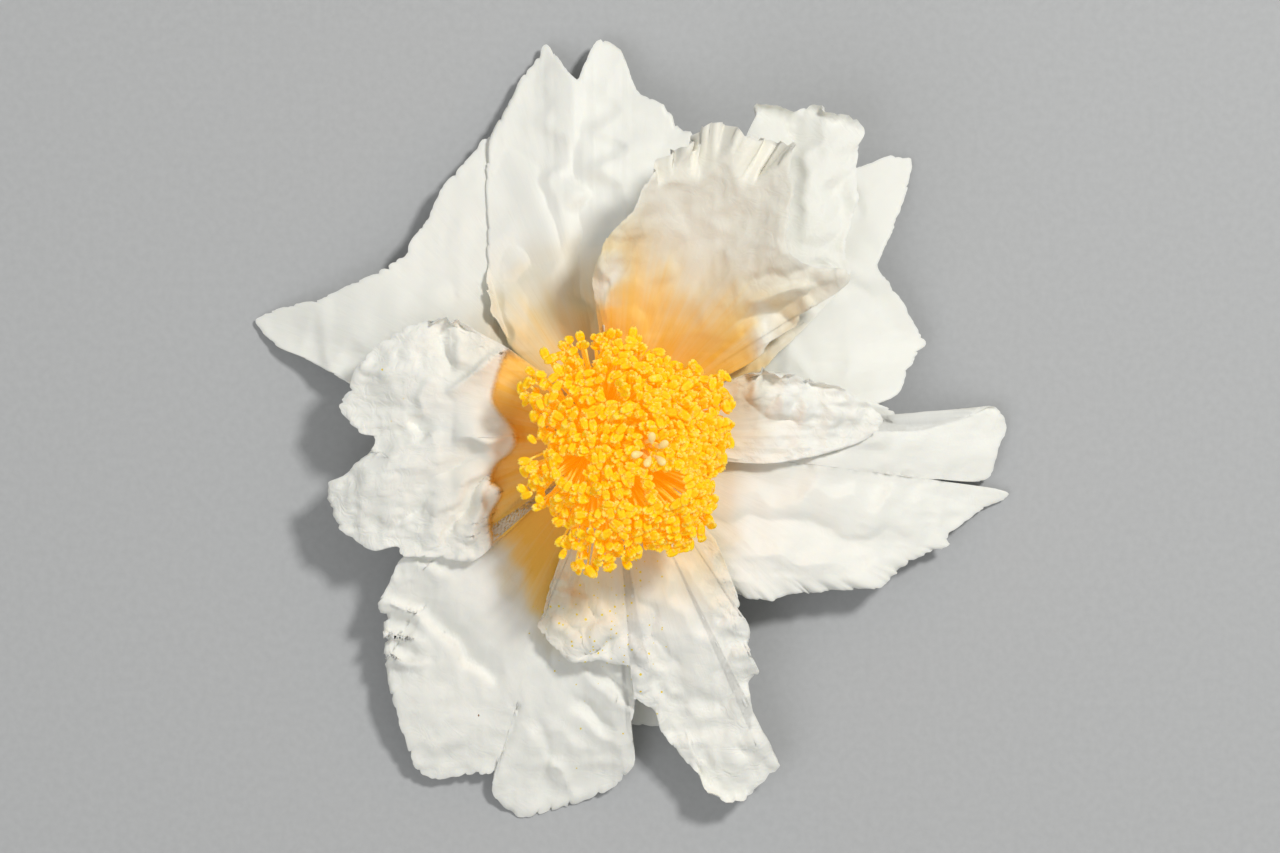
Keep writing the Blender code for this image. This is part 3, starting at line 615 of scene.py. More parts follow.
def roll_lengths(edge, roll):
    """How long a roll is at each point of the rim: half an ellipse round the point nearest to its place,
    so that two rolls side by side meet in a cusp."""
    run = np.concatenate([[0], np.cumsum(np.linalg.norm(np.diff(edge, axis=0), axis=1))])
    nearest = np.argmin(np.hypot(edge[:, 0] - roll[0], edge[:, 1] - roll[1]))
    return roll[3] * np.sqrt(np.clip(1 - ((run - run[nearest]) / roll[2]) ** 2, 0, 1))


def stretch_rim(edge, rolls):
    """Move the rim out by as much as its upward rolls will take it back in."""
    outward = edge * (1, 1, 0) - np.append(AXIS, 0)
    outward = outward / np.linalg.norm(outward, axis=1, keepdims=True)
    for roll in rolls:
        if roll[5] < 0:
            continue
        length = roll_lengths(edge, roll)
        share = np.linspace(0, 1, 24)[:, None]
        furthest = roll_shape(length * share, roll[4], roll[5])[0].max(axis=0)
        edge = edge + (length - furthest)[:, None] * outward
    return edge


def roll_rim(sheet, rolls):
    """Bend the last stretch of each vein out of the sheet, in the plane of the vein and the normal."""
    for roll in rolls:
        length = roll_lengths(sheet[-1], roll)
        steps = np.linalg.norm(np.diff(sheet, axis=0), axis=-1)
        left = np.vstack([np.cumsum(steps[::-1], axis=0)[::-1], 0 * steps[:1]])
        first = np.clip(np.argmax(left <= length, axis=0), 2, None)
        column = np.arange(sheet.shape[1])
        share = (left[first - 1, column] - length) / (left[first - 1, column] - left[first, column])
        before, after = sheet[first - 1, column], sheet[first, column]
        hinge = before + share[:, None] * (after - before)
        ahead = hinge - sheet[first - 2, column]
        ahead = ahead / np.linalg.norm(ahead, axis=1, keepdims=True)
        up = sheet_normals(sheet)[first - 2, column]
        out, rise = roll_shape(np.maximum(length - left, 0), roll[4], roll[5])
        bent = hinge + out[..., None] * ahead + rise[..., None] * up
        sheet = np.where((left < length)[..., None], bent, sheet)
    return sheet


# %% [markdown]
# Between veins, tissue wrinkles in long lines, crumples in short folds and ruffles at the rim. Each is
# a noise stretched along the veins. They follow place on the flower and not the grid, so that they run
# on evenly past a notch, where rays of very different length lie side by side.

# %% One petal
CLAW_RADIUS = 6.1
CLAW_HEIGHT = 11.4
WHORL_STEP = 1.6
ROWS = 90
RIM_STEP = 0.42
VEIN_RADIUS = 28
# Wrinkles, creases and ruffles, as (spacing across the veins, spacing along them) mm.
WRINKLES, FINE_WRINKLES, CREASES, RUFFLES = (5.0, 22), (1.7, 14), (2.8, 3.6), (4.5, 30)
CRUMPLE_SPACING = 3.6


def beyond_lip(x, y, line):
    """0 on the tissue's side of a free edge and 1 on the base's side, with a steep S between. It dies
    out over the last 3 mm of both ends of the line."""
    line = smooth_line(line, 60)
    ends = soft_step(np.minimum(y - line[0, 1], line[-1, 1] - y), -1.0, 2.0)
    return ends * soft_step(x - np.interp(y, line[:, 1], line[:, 0]), -0.2, 0.35)


def petal_sheet(whorl, claw, swell, creases, rim, folds, grooves, lip, rolls, seed):
    """Rays from claw to rim, raised by a sine arch, then by folds, then moved along the normal by long
    wrinkles, folded noise and a rim ruffle that all grow towards the rim. These follow the direction
    and the distance from the flower's axis, as the veins do. Rolls come last. Returns the sheet, its
    places across and along the veins, and how grown its creases are."""
    wrinkle, crumple, ruffle = creases
    columns = int(np.linalg.norm(np.diff(smooth_line(rim, 400), axis=0), axis=1).sum() / RIM_STEP)
    edge = stretch_rim(tooth_rim(smooth_line(rim, columns), seed + 31), rolls)
    angle = np.radians(np.linspace(claw[0] - claw[1], claw[0] + claw[1], columns))
    start = np.stack([AXIS[0] + CLAW_RADIUS * np.cos(angle), AXIS[1] + CLAW_RADIUS * np.sin(angle),
                      np.full(columns, CLAW_HEIGHT + WHORL_STEP * whorl)], axis=1)
    u = np.linspace(0, 1, ROWS)[:, None]
    v = np.linspace(0, 1, columns)[None, :]
    sheet = start + (edge - start) * u[..., None]
    sheet[..., 2] += swell * np.sin(np.pi * u) * np.sin(np.pi * v)
    x, y = sheet[..., 0].copy(), sheet[..., 1].copy()
    sheet[..., 2] += (settle(x, y, sheet[..., 2]) - sheet[..., 2]) * soft_step(u, 0.05, 0.3)
    for x1, y1, x2, y2, width, height in folds:
        sheet[..., 2] += height * ridge(x, y, (x1, y1), (x2, y2), width)
    for x1, y1, x2, y2, width, depth in grooves:
        sheet[..., 2] -= depth * groove(x, y, (x1, y1), (x2, y2), width)
    if lip:
        sheet[..., 2] -= lip[1] * beyond_lip(x, y, lip[0])
    direction = np.degrees(np.arctan2(y - AXIS[1], x - AXIS[0])) - claw[0]
    across = VEIN_RADIUS * np.radians(np.mod(direction + 180, 360) - 180)
    along = np.hypot(x - AXIS[0], y - AXIS[1])
    reach = settle(x, y, u + 0 * v)
    grown = soft_step(reach, 0.30, 0.97)
    lines = soft_noise(across / WRINKLES[0], along / WRINKLES[1], seed)
    lines = lines + 0.35 * soft_noise(across / FINE_WRINKLES[0], along / FINE_WRINKLES[1], seed + 3)
    crumples = 0.8 * crease_noise(x / CRUMPLE_SPACING, y / CRUMPLE_SPACING, seed + 5)
    crumples = crumples + 0.4 * crease_noise(across / CREASES[0], along / CREASES[1], seed + 7)
    wave = soft_noise(across / RUFFLES[0], along / RUFFLES[1], seed + 9)
    rise = wrinkle * lines * (0.4 + 0.6 * grown) + crumple * (crumples - 0.3) * grown
    rise = rise + ruffle * wave * soft_step(reach, 0.62, 0.97)
    sheet = roll_rim(sheet + sheet_normals(sheet) * rise[..., None], rolls)
    return sheet, np.stack([across, along], axis=-1), grown


# %% [markdown]
# Petal tissue is white because air between its cells scatters light, so it wants a little subsurface
# and almost no gloss. Its colour is the stain that runs up the claw along the veins, with painted light
# in the same ramp: golden light that the stamens throw on the claws, golden colour in the brush's
# shadow and grey-beige shade inside the upright cup; dust from the anthers comes on top. The mesh
# stores how strong stain and painted light, dust, brown spots and crumpling are at each vertex; noise
# then breaks them up. A painted image would do as well but stays with one petal.

# %% Petal material
def petal_material():
    """Camellia petal: white, waxy tissue that lets light soak in. Fine veins show as a faint relief 0.5 mm
    apart, and creases 1.8 mm apart run along them where the tissue is crumpled. The claws are stained
    cream to orange along the veins, and the same colour paints light and shade: golden light from the
    stamens, the brush's shadow coloured golden and grey-beige shade inside the cup. Pollen has dusted
    some places in 0.3 mm grains, and a few small spots are brown."""
    material, tree = new_material(
        "camellia_petal_tissue", Roughness=0.52, IOR=1.4, Specular_IOR_Level=0.35, Subsurface_Weight=0.25,
        Subsurface_Radius=(1.0, 0.85, 0.65), Subsurface_Scale=0.0005)
    place = add_node(tree, "TexCoord")
    stain, dust, bruise, crumple = (add_node(tree, "Attribute", {"attribute_name": name})["Fac"]
                                    for name in ("stain", "dust", "bruise", "crumple"))
    # The stain with its painted light, broken into streaks 2.2 mm apart that run 40 mm along the veins.
    rays = add_node(tree, "Mapping", Vector=place["UV"], Scale=(1 / 2.2, 1 / 40.0, 1.0))
    streak = add_node(tree, "TexNoise", Vector=rays["Vector"], Scale=1.0, Detail=3.0, Roughness=0.6)
    shift = add_node(tree, "Math", {"operation": "MULTIPLY_ADD"}, i0=streak["Fac"], i1=1.1, i2=0.44)
    level = add_node(tree, "Math", {"operation": "MULTIPLY"}, i0=shift[0], i1=stain)
    # The ramp's low greyish beige stops are painted shade for the cup's inside; its golden top is the
    # claw's stain deepened by painted light from the stamens.
    hue = add_node(tree, "ValToRGB", {"stops": (
        (0.0, "#F5F5EE"), (0.12, "#EEEADD"), (0.28, "#EBE2CB"), (0.46, "#EFD9AA"), (0.70, "#F5CE80"),
        (0.95, "#F6C455"))}, Fac=level[0])
    # Pollen: one grain to a cell of 0.67 mm, of uneven size, kept where dust is strong enough.
    grains = add_node(tree, "TexVoronoi", Vector=place["Object"], Scale=1500.0)
    pick = add_node(tree, "SeparateColor", Color=grains["Color"])
    girth = add_node(tree, "Math", {"operation": "MULTIPLY_ADD"}, i0=pick[1], i1=0.26, i2=0.08)
    grain = add_node(tree, "Math", {"operation": "LESS_THAN"}, i0=grains["Distance"], i1=girth[0])
    kept = add_node(tree, "Math", {"operation": "LESS_THAN"}, i0=pick[0], i1=dust)
    speck = add_node(tree, "Math", {"operation": "MULTIPLY"}, i0=grain[0], i1=kept[0])
    dusted = add_node(tree, "Mix", {"data_type": "RGBA"}, i0=speck[0], i6=hue["Color"],
                      i7=colour("#F4DA48"))
    # Brown spots: brown where a noise of 0.9 mm, weakened away from each spot, is high.
    spots = add_node(tree, "TexNoise", Vector=place["Object"], Scale=1100.0, Detail=3.0)
    spotted = add_node(tree, "Math", {"operation": "MULTIPLY"}, i0=spots["Fac"], i1=bruise)
    brown = add_node(tree, "ValToRGB", {"stops": ((0.42, "#000000"), (0.5, "#FFFFFF"))}, Fac=spotted[0])
    skin = add_node(tree, "Mix", {"data_type": "RGBA"}, i0=brown["Color"], i6=dusted[2],
                    i7=colour("#8A5A2A"))
    # Veins 0.5 mm apart and 9 mm long, roughened by cells of 0.7 mm.
    stretch = add_node(tree, "Mapping", Vector=place["UV"], Scale=(1 / 0.5, 1 / 9.0, 1.0))
    veins = add_node(tree, "TexNoise", Vector=stretch["Vector"], Scale=1.0, Detail=3.0, Roughness=0.6,
                     Distortion=0.4)
    cells = add_node(tree, "TexNoise", Vector=place["Object"], Scale=1400.0, Detail=1.0)
    relief = add_node(tree, "Math", {"operation": "MULTIPLY_ADD"}, i0=cells["Fac"], i1=0.15,
                      i2=veins["Fac"])
    veined = add_node(tree, "Bump", Height=relief[0], Distance=0.00005, Strength=0.8)
    # Creases 1.8 mm apart: the fold of a noise, pressed flat where the tissue isn't crumpled.
    shrink = add_node(tree, "Mapping", Vector=place["UV"], Scale=(1 / 1.8, 1 / 2.4, 1.0))
    lumps = add_node(tree, "TexNoise", Vector=shrink["Vector"], Scale=1.0, Detail=2.0, Distortion=1.1)
    centred = add_node(tree, "Math", {"operation": "SUBTRACT"}, i0=lumps["Fac"], i1=0.5)
    folded = add_node(tree, "Math", {"operation": "ABSOLUTE"}, i0=centred[0])
    pressed = add_node(tree, "Math", {"operation": "MULTIPLY"}, i0=folded[0], i1=crumple)
    creased = add_node(tree, "Bump", Height=pressed[0], Distance=0.0004, Strength=0.9,
                       Normal=veined["Normal"])
    finish_material(tree, skin[2], creased["Normal"])
    return material


tissue = petal_material()
# Where pollen fell, as (x, y, radius, share of grains kept), and where small brown spots lie, (x, y,
# radius).
DUSTED = ((-2.0, -25.0, 5.0, 0.40), (-4.5, -33.0, 4.0, 0.45), (2.0, -33.0, 8.0, 0.12),
          (-9.0, -27.0, 5.0, 0.22), (-38.0, 6.0, 5.0, 0.03), (-2.0, -40.0, 8.0, 0.06),
          (-15.0, -31.0, 5.0, 0.10))
BROWN_SPOTS = ((-17.9, -43.6, 0.5), (-19.6, -43.9, 0.35), (-24.0, -44.6, 0.4))
print("material:", tissue.name)


# %% [markdown]
# The claws' stain, and the golden light painted with it, stops about where the stamens do, a little
# further out on some petals than on others: on the lower left it runs on over the brush's cast shadow.
# With that and the material, each petal is grown, laid on the pile and given to the flower, the
# outermost first, as they open.

# %% Grow the petals
PETAL_THICKNESS = 0.36
PETAL_FLOOR = 0.3
# name: how strongly the claw's yellow and the golden light painted with it show, where it starts to
# fade and is gone, both as multiples of the brush's own reach in that direction, and how much is left
# of it at the rim. On the cup, what is left is a floor of grey-beige painted shade.
STAINS_AND_PAINTED_LIGHT = {
    "petal_inner_upper": (0.92, 0.80, 2.3, 0.09), "petal_left": (1.0, 1.0, 1.8, 0.0),
    "petal_lower_left": (1.0, 1.15, 1.66, 0.0), "petal_top": (0.55, 0.9, 1.9, 0.0),
    "petal_bottom": (0.36, 1.0, 1.8, 0.0), "petal_upper_left": (0.4, 0.9, 1.8, 0.0),
    "petal_upper_right": (0.5, 1.0, 2.1, 0.0)}
DEFAULT_STAIN_AND_PAINTED_LIGHT = (0.30, 0.9, 1.6, 0.0)
# The underside keeps this share of the stain and painted light.
UNDERSIDE_STAIN_AND_PAINTED_LIGHT = 0.35
# Shares of a petal's own stain and painted light, and of its full strength, where a free edge lies over its
# claw.
LIP_STAIN_AND_PAINTED_LIGHT = (0.12, 0.74)
# Raised folds that stay white within the stain and painted light, as (x1, y1, x2, y2, width).
CLEAN = {"petal_inner_upper": ((-5.0, 27.0, -4.0, 19.0, 2.6), (18.0, 12.0, 24.0, 17.5, 3.0))}


def petal_stain_and_painted_light(name, x, y):
    """How strong the stain and its painted light are at each point: full near the brush, gone at a
    multiple of the brush's own reach. A free edge hides them up to its line, and raised folds stay clean."""
    strength, fades, gone, least = STAINS_AND_PAINTED_LIGHT.get(name, DEFAULT_STAIN_AND_PAINTED_LIGHT)
    direction = np.degrees(np.arctan2(y - BRUSH_HEAD[1], x - BRUSH_HEAD[0]))
    reach = np.interp(np.mod(direction, 360), *BRUSH_REACH.T, period=360)
    distance = np.hypot(x - BRUSH_HEAD[0], y - BRUSH_HEAD[1]) / reach
    distance = distance + 0.07 * soft_noise(x / 2.5, y / 2.5, 8)
    stain = least + (strength - least) * (1 - soft_step(distance, fades, gone))
    if name in LIPS:
        stain = LIP_STAIN_AND_PAINTED_LIGHT[0] * stain + LIP_STAIN_AND_PAINTED_LIGHT[1] * strength * beyond_lip(x, y, LIPS[name][0])
    for x1, y1, x2, y2, width in CLEAN.get(name, ()):
        stain = stain * (1 - 0.85 * ridge(x, y, (x1, y1), (x2, y2), width))
    return stain


def grow_petal(name, seed):
    """Work out one petal, lay it on the pile, make its mesh and store what its material reads."""
    whorl, claw, swell, creases, rim, folds = PETALS[name]
    sheet, uv, grown = petal_sheet(whorl, claw, swell, creases, rim, folds, GROOVES.get(name, ()),
                                   LIPS.get(name), ROLLS.get(name, ()), seed)
    sheet = lay_on_pile(sheet, PETAL_THICKNESS, CLAW_RADIUS)
    sheet[..., 2] = np.maximum(sheet[..., 2], PETAL_FLOOR)
    points, quads = sheet_faces(sheet, PETAL_THICKNESS)
    mesh = make_mesh(name + "_tissue", points, [quads], both_sides(uv))
    sharpen_rim(mesh, *sheet.shape[:2])
    x, y = sheet[..., 0], sheet[..., 1]
    # Stain with painted light: the claws' stain, golden light from the stamens and shade in the cup.
    stain = both_sides(petal_stain_and_painted_light(name, x, y))
    stain[x.size:] *= UNDERSIDE_STAIN_AND_PAINTED_LIGHT    # the far side is the second half
    add_values(mesh, "stain", stain)
    add_values(mesh, "crumple", both_sides(grown * np.clip(1.8 * (creases[1] - 0.12), 0, 1)))
    add_values(mesh, "dust", both_sides(sum(
        height * np.exp(-((x - a) ** 2 + (y - b) ** 2) / width**2) for a, b, width, height in DUSTED)))
    add_values(mesh, "bruise", both_sides(sum(
        np.exp(-((x - a) ** 2 + (y - b) ** 2) / width**2) for a, b, width in BROWN_SPOTS)))
    return add_piece(name + "_tissue", mesh, [tissue], name)


for number, petal_name in enumerate(PETALS):
    made = grow_petal(petal_name, 20 + 11 * number)
    print(made.name, "faces:", len(made.data.polygons))


# %% [markdown]
# ## The brush of stamens
# Some hundreds of stamens stand round the styles. Each is a thread that rises from the receptacle,
# flares outwards and carries a two-lobed anther. At their feet camellia filaments are joined to a short
# tube round the receptacle, which shows from the side. All threads follow one flaring shape, the same
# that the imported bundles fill. Hair particles would be quicker to set up but are hard to keep inside it.

# %% A point of the brush
# A thread's ring goes from 0 at the styles to 1 outside, its climb from 0 at the foot to 1 at the head.
BRUSH_FOOT_HEIGHT = 17.8
BRUSH_TOP = 35.0
BRUSH_SHOULDER = 6.5
BRUSH_FOOT = (2.2, 6.6)
BRUSH_BORE = 0.5
BRUSH_FLARE = 1.3
# Threads past this ring run on below the foot, and close up to a tube of this radius.
TUBE_RING = 0.84
TUBE_CLIMB = -0.5
TUBE_WAIST = 0.12
TUBE_RADIUS = 5.75


def brush_point(ring, angle, climb):
    """Foot and head radius grow evenly with ring, from 0 at the styles to 1 outside; a thread goes from
    one to the other as climb to the power 1.3, while the brush's axis leans from the receptacle to the
    styles' tips. Below climb 0 the threads close up to one tube round the receptacle."""
    reach = np.interp(np.mod(angle, 360), *BRUSH_REACH.T, period=360)
    foot = BRUSH_FOOT[0] + (BRUSH_FOOT[1] - BRUSH_FOOT[0]) * ring
    head = BRUSH_BORE + (reach - BRUSH_BORE) * ring
    up = np.maximum(climb, 0)
    radius = foot + (head - foot) * up**BRUSH_FLARE
    radius += (TUBE_RADIUS - radius) * np.clip(-climb / TUBE_WAIST, 0, 1)
    top = BRUSH_TOP - BRUSH_SHOULDER * ring**2
    turn = np.radians(angle)
    x = AXIS[0] + (BRUSH_HEAD[0] - AXIS[0]) * up + radius * np.cos(turn)
    y = AXIS[1] + (BRUSH_HEAD[1] - AXIS[1]) * up + radius * np.sin(turn)
    z = BRUSH_FOOT_HEIGHT + (top - BRUSH_FOOT_HEIGHT) * climb
    return np.stack([x, y, z], axis=-1)


print("the outermost head on the right, mm:", brush_point(1.0, 0.0, 1.0).round(1))

# %% [markdown]
# A thousand threads as a thousand objects would be slow, so each bundle is one mesh worked out as one
# array. A thread is rings of points square to its path; an anther is one shape of two lobes, carried
# by a rotation for each copy.

# %% Threads and anthers as arrays
THREAD_SIDES, THREAD_STEPS = 5, 10
ANTHER_SIDES, ANTHER_STEPS = 12, 7
ANTHER_LENGTH = 1.75


def closed_grid(steps, sides):
    """Faces of a tube of rings: four-sided along it, and one many-sided cap at each end."""
    index = np.arange(steps * sides).reshape(steps, sides)
    wall = grid_quads(np.concatenate([index, index[:, :1]], axis=1))
    return wall[:, ::-1], np.stack([index[0, ::-1], index[-1]])


def tubes(paths, radii, sides):
    """Rings of points round each path, square to it. paths is (tubes, steps, 3), radii (tubes, steps)."""
    forward = np.gradient(paths, axis=1)
    forward /= np.linalg.norm(forward, axis=-1, keepdims=True)
    side = np.cross(forward, (0.31, 0.95, 0.05))
    side /= np.linalg.norm(side, axis=-1, keepdims=True)
    other = np.cross(forward, side)
    turn = np.linspace(0, 2 * np.pi, sides, endpoint=False)[:, None]
    ring = side[:, :, None] * np.cos(turn) + other[:, :, None] * np.sin(turn)
    return (paths[:, :, None] + radii[:, :, None, None] * ring).reshape(len(paths), -1, 3)


def anther_shape():
    """Two lobes side by side, about 2 mm long. The half width is a power of a sine along them; the
    height has a groove down the middle of both faces, and the lobes spread and reach further at the
    far end. Returns the points and how near each is to a tip."""
    t = np.linspace(0.02, 0.98, ANTHER_STEPS)[:, None]
    turn = np.linspace(0, 2 * np.pi, ANTHER_SIDES, endpoint=False)[None, :]
    half = np.sin(np.pi * t) ** 0.45
    groove_down = 1 - 0.72 * np.exp(-((np.cos(turn) / 0.4) ** 2))
    x = ANTHER_LENGTH * (t - 0.5) + 0.5 * np.abs(np.cos(turn)) * (t - 0.5)
    y = 0.62 * half * np.cos(turn) * (0.82 + 0.36 * t)
    z = 0.44 * half * np.sin(turn) * groove_down + 0.5 * (t - 0.5) ** 2
    return np.stack([x, y, z], axis=-1).reshape(-1, 3), np.abs(2 * x / ANTHER_LENGTH).ravel()


def repeat_faces(faces, count, size):
    """The same faces for each copy, their indices moved on by a copy's number of points."""
    return [(group[None] + size * np.arange(count)[:, None, None]).reshape(-1, group.shape[1])
            for group in faces]


# %% [markdown]
# A sunflower's rule spaces the stamens: each stands a golden angle round from the one before, and
# further out by the square root of its number, so the brush is filled evenly. A little chance then
# makes tufts and uneven heights, and here and there the brush parts and shows its threads.

# %% Where each stamen stands
STAMEN_COUNT = 1040
STAMEN_SEED = 7
GOLDEN_ANGLE = 137.50776
THREAD_RADIUS = 0.24
ANTHER_TILT = 58.0
# Where the brush parts and shows its threads, as (x, y, radius) mm.
PARTINGS = ((-8.8, -6.0, 1.9), (-14.6, -3.2, 1.5), (5.2, -8.6, 2.3), (1.6, -9.4, 1.7), (-3.0, 5.8, 1.2),
            (-6.0, -11.5, 1.3), (-11.6, -9.0, 1.1), (-6.6, 11.0, 1.3))

luck = np.random.default_rng(STAMEN_SEED)
order = np.arange(STAMEN_COUNT)
stamen_ring = np.sqrt((order + 0.6) / STAMEN_COUNT)
stamen_angle = np.mod(order * GOLDEN_ANGLE + luck.normal(0, 2.2, STAMEN_COUNT), 360)
stamen_ring = np.clip(stamen_ring + luck.normal(0, 0.012, STAMEN_COUNT), 0.02, 0.99)
tuft = soft_noise(stamen_ring * np.cos(np.radians(stamen_angle)) * 2.6 + 9,
                  stamen_ring * np.sin(np.radians(stamen_angle)) * 2.6 + 9, 3)
stamen_climb = 0.94 + 0.06 * tuft - 0.10 * (order % 3 == 0) + luck.uniform(-0.03, 0.03, STAMEN_COUNT)
print("stamens:", STAMEN_COUNT, "heads at", stamen_climb.min().round(2), "to", stamen_climb.max().round(2))


def part_heads(heads):
    """Sideways push on each head: away from the middle of a parting, by its radius at the middle and
    by a bell curve of the distance further out."""
    push = np.zeros_like(heads[:, :2])
    for x, y, radius in PARTINGS:
        gap = heads[:, :2] - (x, y)
        far = np.maximum(np.linalg.norm(gap, axis=1, keepdims=True), 0.2)
        push += gap / far * radius * np.exp(-((far / (1.3 * radius)) ** 2))
    return push


def turned_anthers(shape, place, outward, spin, tilt):
    """Each anther points outwards from the brush, turned by spin about the upright and tipped up by
    tilt: its three axes are columns of a rotation, and the shape is carried by them."""
    heading = outward + spin
    long_axis = np.stack([np.cos(heading) * np.cos(tilt), np.sin(heading) * np.cos(tilt), np.sin(tilt)], -1)
    across = np.stack([-np.sin(heading), np.cos(heading), 0 * heading], -1)
    upper = np.cross(long_axis, across)
    axes = np.stack([long_axis, across, upper], axis=1)
    return place[:, None] + np.einsum("pk,nkc->npc", shape, axes)


# %% [markdown]
# Light soaks right through thin yellow tissue, and each stamen also lights its neighbours. A weak glow
# stands for that many times scattered light, which would cost far more samples to follow. Without it the
# brush goes brown in its own shade.

# %% Stamen materials
def thread_material():
    """Filament: a wet-looking orange thread, paler towards its head, with an even painted glow that
    stands for light coming through it from its neighbours."""
    material, tree = new_material(
        "stamen_filament", Roughness=0.4, Subsurface_Weight=0.6, Subsurface_Radius=(1.0, 0.6, 0.1),
        Subsurface_Scale=0.002, Emission_Color=colour("#FFB414"), Emission_Strength=0.20)
    height = add_node(tree, "Attribute", {"attribute_name": "height"})
    hue = add_node(tree, "ValToRGB", {"stops": ((0.1, "#FFC43C"), (0.6, "#FFCC48"), (1.0, "#FFDC70"))},
                   Fac=height["Fac"])
    finish_material(tree, hue["Color"])
    return material


def anther_material():
    """Anther: golden sacs dusted with pollen, with orange seams, pale torn skin and grains of 0.4 mm."""
    # Its emission is painted light: a glow for light scattered among the stamens.
    material, tree = new_material(
        "anther_with_pollen", Roughness=0.6, Specular_IOR_Level=0.25, Emission_Color=colour("#FFB000"),
        Emission_Strength=0.20, Subsurface_Weight=0.5, Subsurface_Radius=(1.0, 0.7, 0.12),
        Subsurface_Scale=0.0012)
    tip, tone = (add_node(tree, "Attribute", {"attribute_name": name})["Fac"] for name in ("tip", "tone"))
    gold = add_node(tree, "ValToRGB", {"stops": ((0.0, "#FFC304"), (0.5, "#FFCD08"), (1.0, "#FFD61C"))},
                    Fac=tone)
    pale = add_node(tree, "ValToRGB", {"stops": ((0.62, "#000000"), (1.0, "#B8B8B8"))}, Fac=tip)
    tipped = add_node(tree, "Mix", {"data_type": "RGBA"}, i0=pale["Color"], i6=gold["Color"],
                      i7=colour("#FFE88C"))
    place = add_node(tree, "TexCoord")["Object"]
    patch = add_node(tree, "TexNoise", Vector=place, Scale=1300.0, Detail=2.0)["Fac"]
    seam = add_node(tree, "ValToRGB", {"stops": ((0.34, "#D0D0D0"), (0.44, "#000000"))}, Fac=patch)
    torn = add_node(tree, "ValToRGB", {"stops": ((0.60, "#000000"), (0.66, "#A0A0A0"))}, Fac=patch)
    deep = add_node(tree, "Mix", {"data_type": "RGBA"}, i0=seam["Color"], i6=tipped[2],
                    i7=colour("#FFA80C"))
    ragged = add_node(tree, "Mix", {"data_type": "RGBA"}, i0=torn["Color"], i6=deep[2],
                      i7=colour("#FFEFA8"))
    grain = add_node(tree, "TexNoise", Vector=place, Scale=2600.0, Detail=3.0)
    bump = add_node(tree, "Bump", Height=grain["Fac"], Distance=0.00014, Strength=0.8)
    finish_material(tree, ragged[2], bump["Normal"])
    return material


filament = thread_material()
pollen_sac = anther_material()
print("materials:", filament.name, pollen_sac.name)


# %% One bundle
# Bundles, as (inner ring, outer ring, how many round).
BRUSH_RINGS = ((0.0, 0.36, 4), (0.36, 0.68, 8), (0.68, 1.0, 12))


def grow_bundle(number, inner, outer, first, last):
    """All stamens whose ring and angle fall in a bundle's cell, as one mesh of threads and anthers."""
    inside = (stamen_ring >= inner) & (stamen_ring < outer)
    chosen = np.flatnonzero(inside & (stamen_angle >= first) & (stamen_angle < last))
    count = len(chosen)
    ring, angle, top = stamen_ring[chosen], stamen_angle[chosen], stamen_climb[chosen]
    t = np.linspace(0, 1, THREAD_STEPS)[None, :]
    sway = 4.0 * np.sin(np.pi * t) * luck.uniform(-1, 1, (count, 1))
    low = np.where(ring > TUBE_RING, TUBE_CLIMB, 0.0)[:, None]
    paths = brush_point(ring[:, None] + 0 * t, angle[:, None] + sway, low + (top[:, None] - low) * t)
    paths[..., :2] += part_heads(paths[:, -1])[:, None] * t[..., None] ** 2
    threads = tubes(paths, THREAD_RADIUS * (1.15 - 0.35 * t) + 0 * paths[..., 0], THREAD_SIDES)
    shape, tip = anther_shape()
    tilt = np.radians(luck.uniform(-18, ANTHER_TILT, count))
    size = luck.uniform(0.84, 1.18, (count, 1, 1))
    heads = turned_anthers(shape, paths[:, -1], np.radians(angle), luck.uniform(-1.9, 1.9, count), tilt)
    heads = paths[:, -1:, :] + (heads - paths[:, -1:, :]) * size
    thread_faces = repeat_faces(closed_grid(THREAD_STEPS, THREAD_SIDES), count, threads.shape[1])
    head_faces = repeat_faces(closed_grid(ANTHER_STEPS, ANTHER_SIDES), count, heads.shape[1])
    offset = threads.shape[0] * threads.shape[1]
    faces = thread_faces + [group + offset for group in head_faces]
    name = f"stamens_{number:02d}"
    mesh = make_mesh(name, np.vstack([threads.reshape(-1, 3), heads.reshape(-1, 3)]), faces)
    first_head = sum(len(group) for group in thread_faces)
    which = (np.arange(len(mesh.polygons)) >= first_head).astype(np.int32)
    piece = add_piece(name, mesh, [filament, pollen_sac], f"stamen_bundle_{number:02d}")
    mesh.polygons.foreach_set("material_index", which)
    height = np.repeat(np.tile(t, (count, 1)), THREAD_SIDES, axis=1).ravel()
    add_values(mesh, "height", np.concatenate([height, np.ones(heads.shape[0] * heads.shape[1])]))
    add_values(mesh, "tip", np.concatenate([0 * height, np.tile(tip, count)]))
    tone = np.repeat(luck.uniform(0, 1, count), heads.shape[1])
    add_values(mesh, "tone", np.concatenate([0 * height, tone]))
    return piece, count


bundle_cells = [(inner, outer, cell * 360 / cells, (cell + 1) * 360 / cells)
                for inner, outer, cells in BRUSH_RINGS for cell in range(cells)]
for number, bundle_cell in enumerate(bundle_cells, start=1):
    bundle, held = grow_bundle(number, *bundle_cell)
    print(bundle.name, "stamens:", held)


# %% [markdown]
# ## The pistil
# Five free styles rise from a downy ovary through the middle of the brush, and each ends in a pale,
# moist stigma a little above the anthers. Each style is a tube on a smooth path, made as the threads
# are. The ovary is an outline turned round the axis, as a Screw modifier would do.

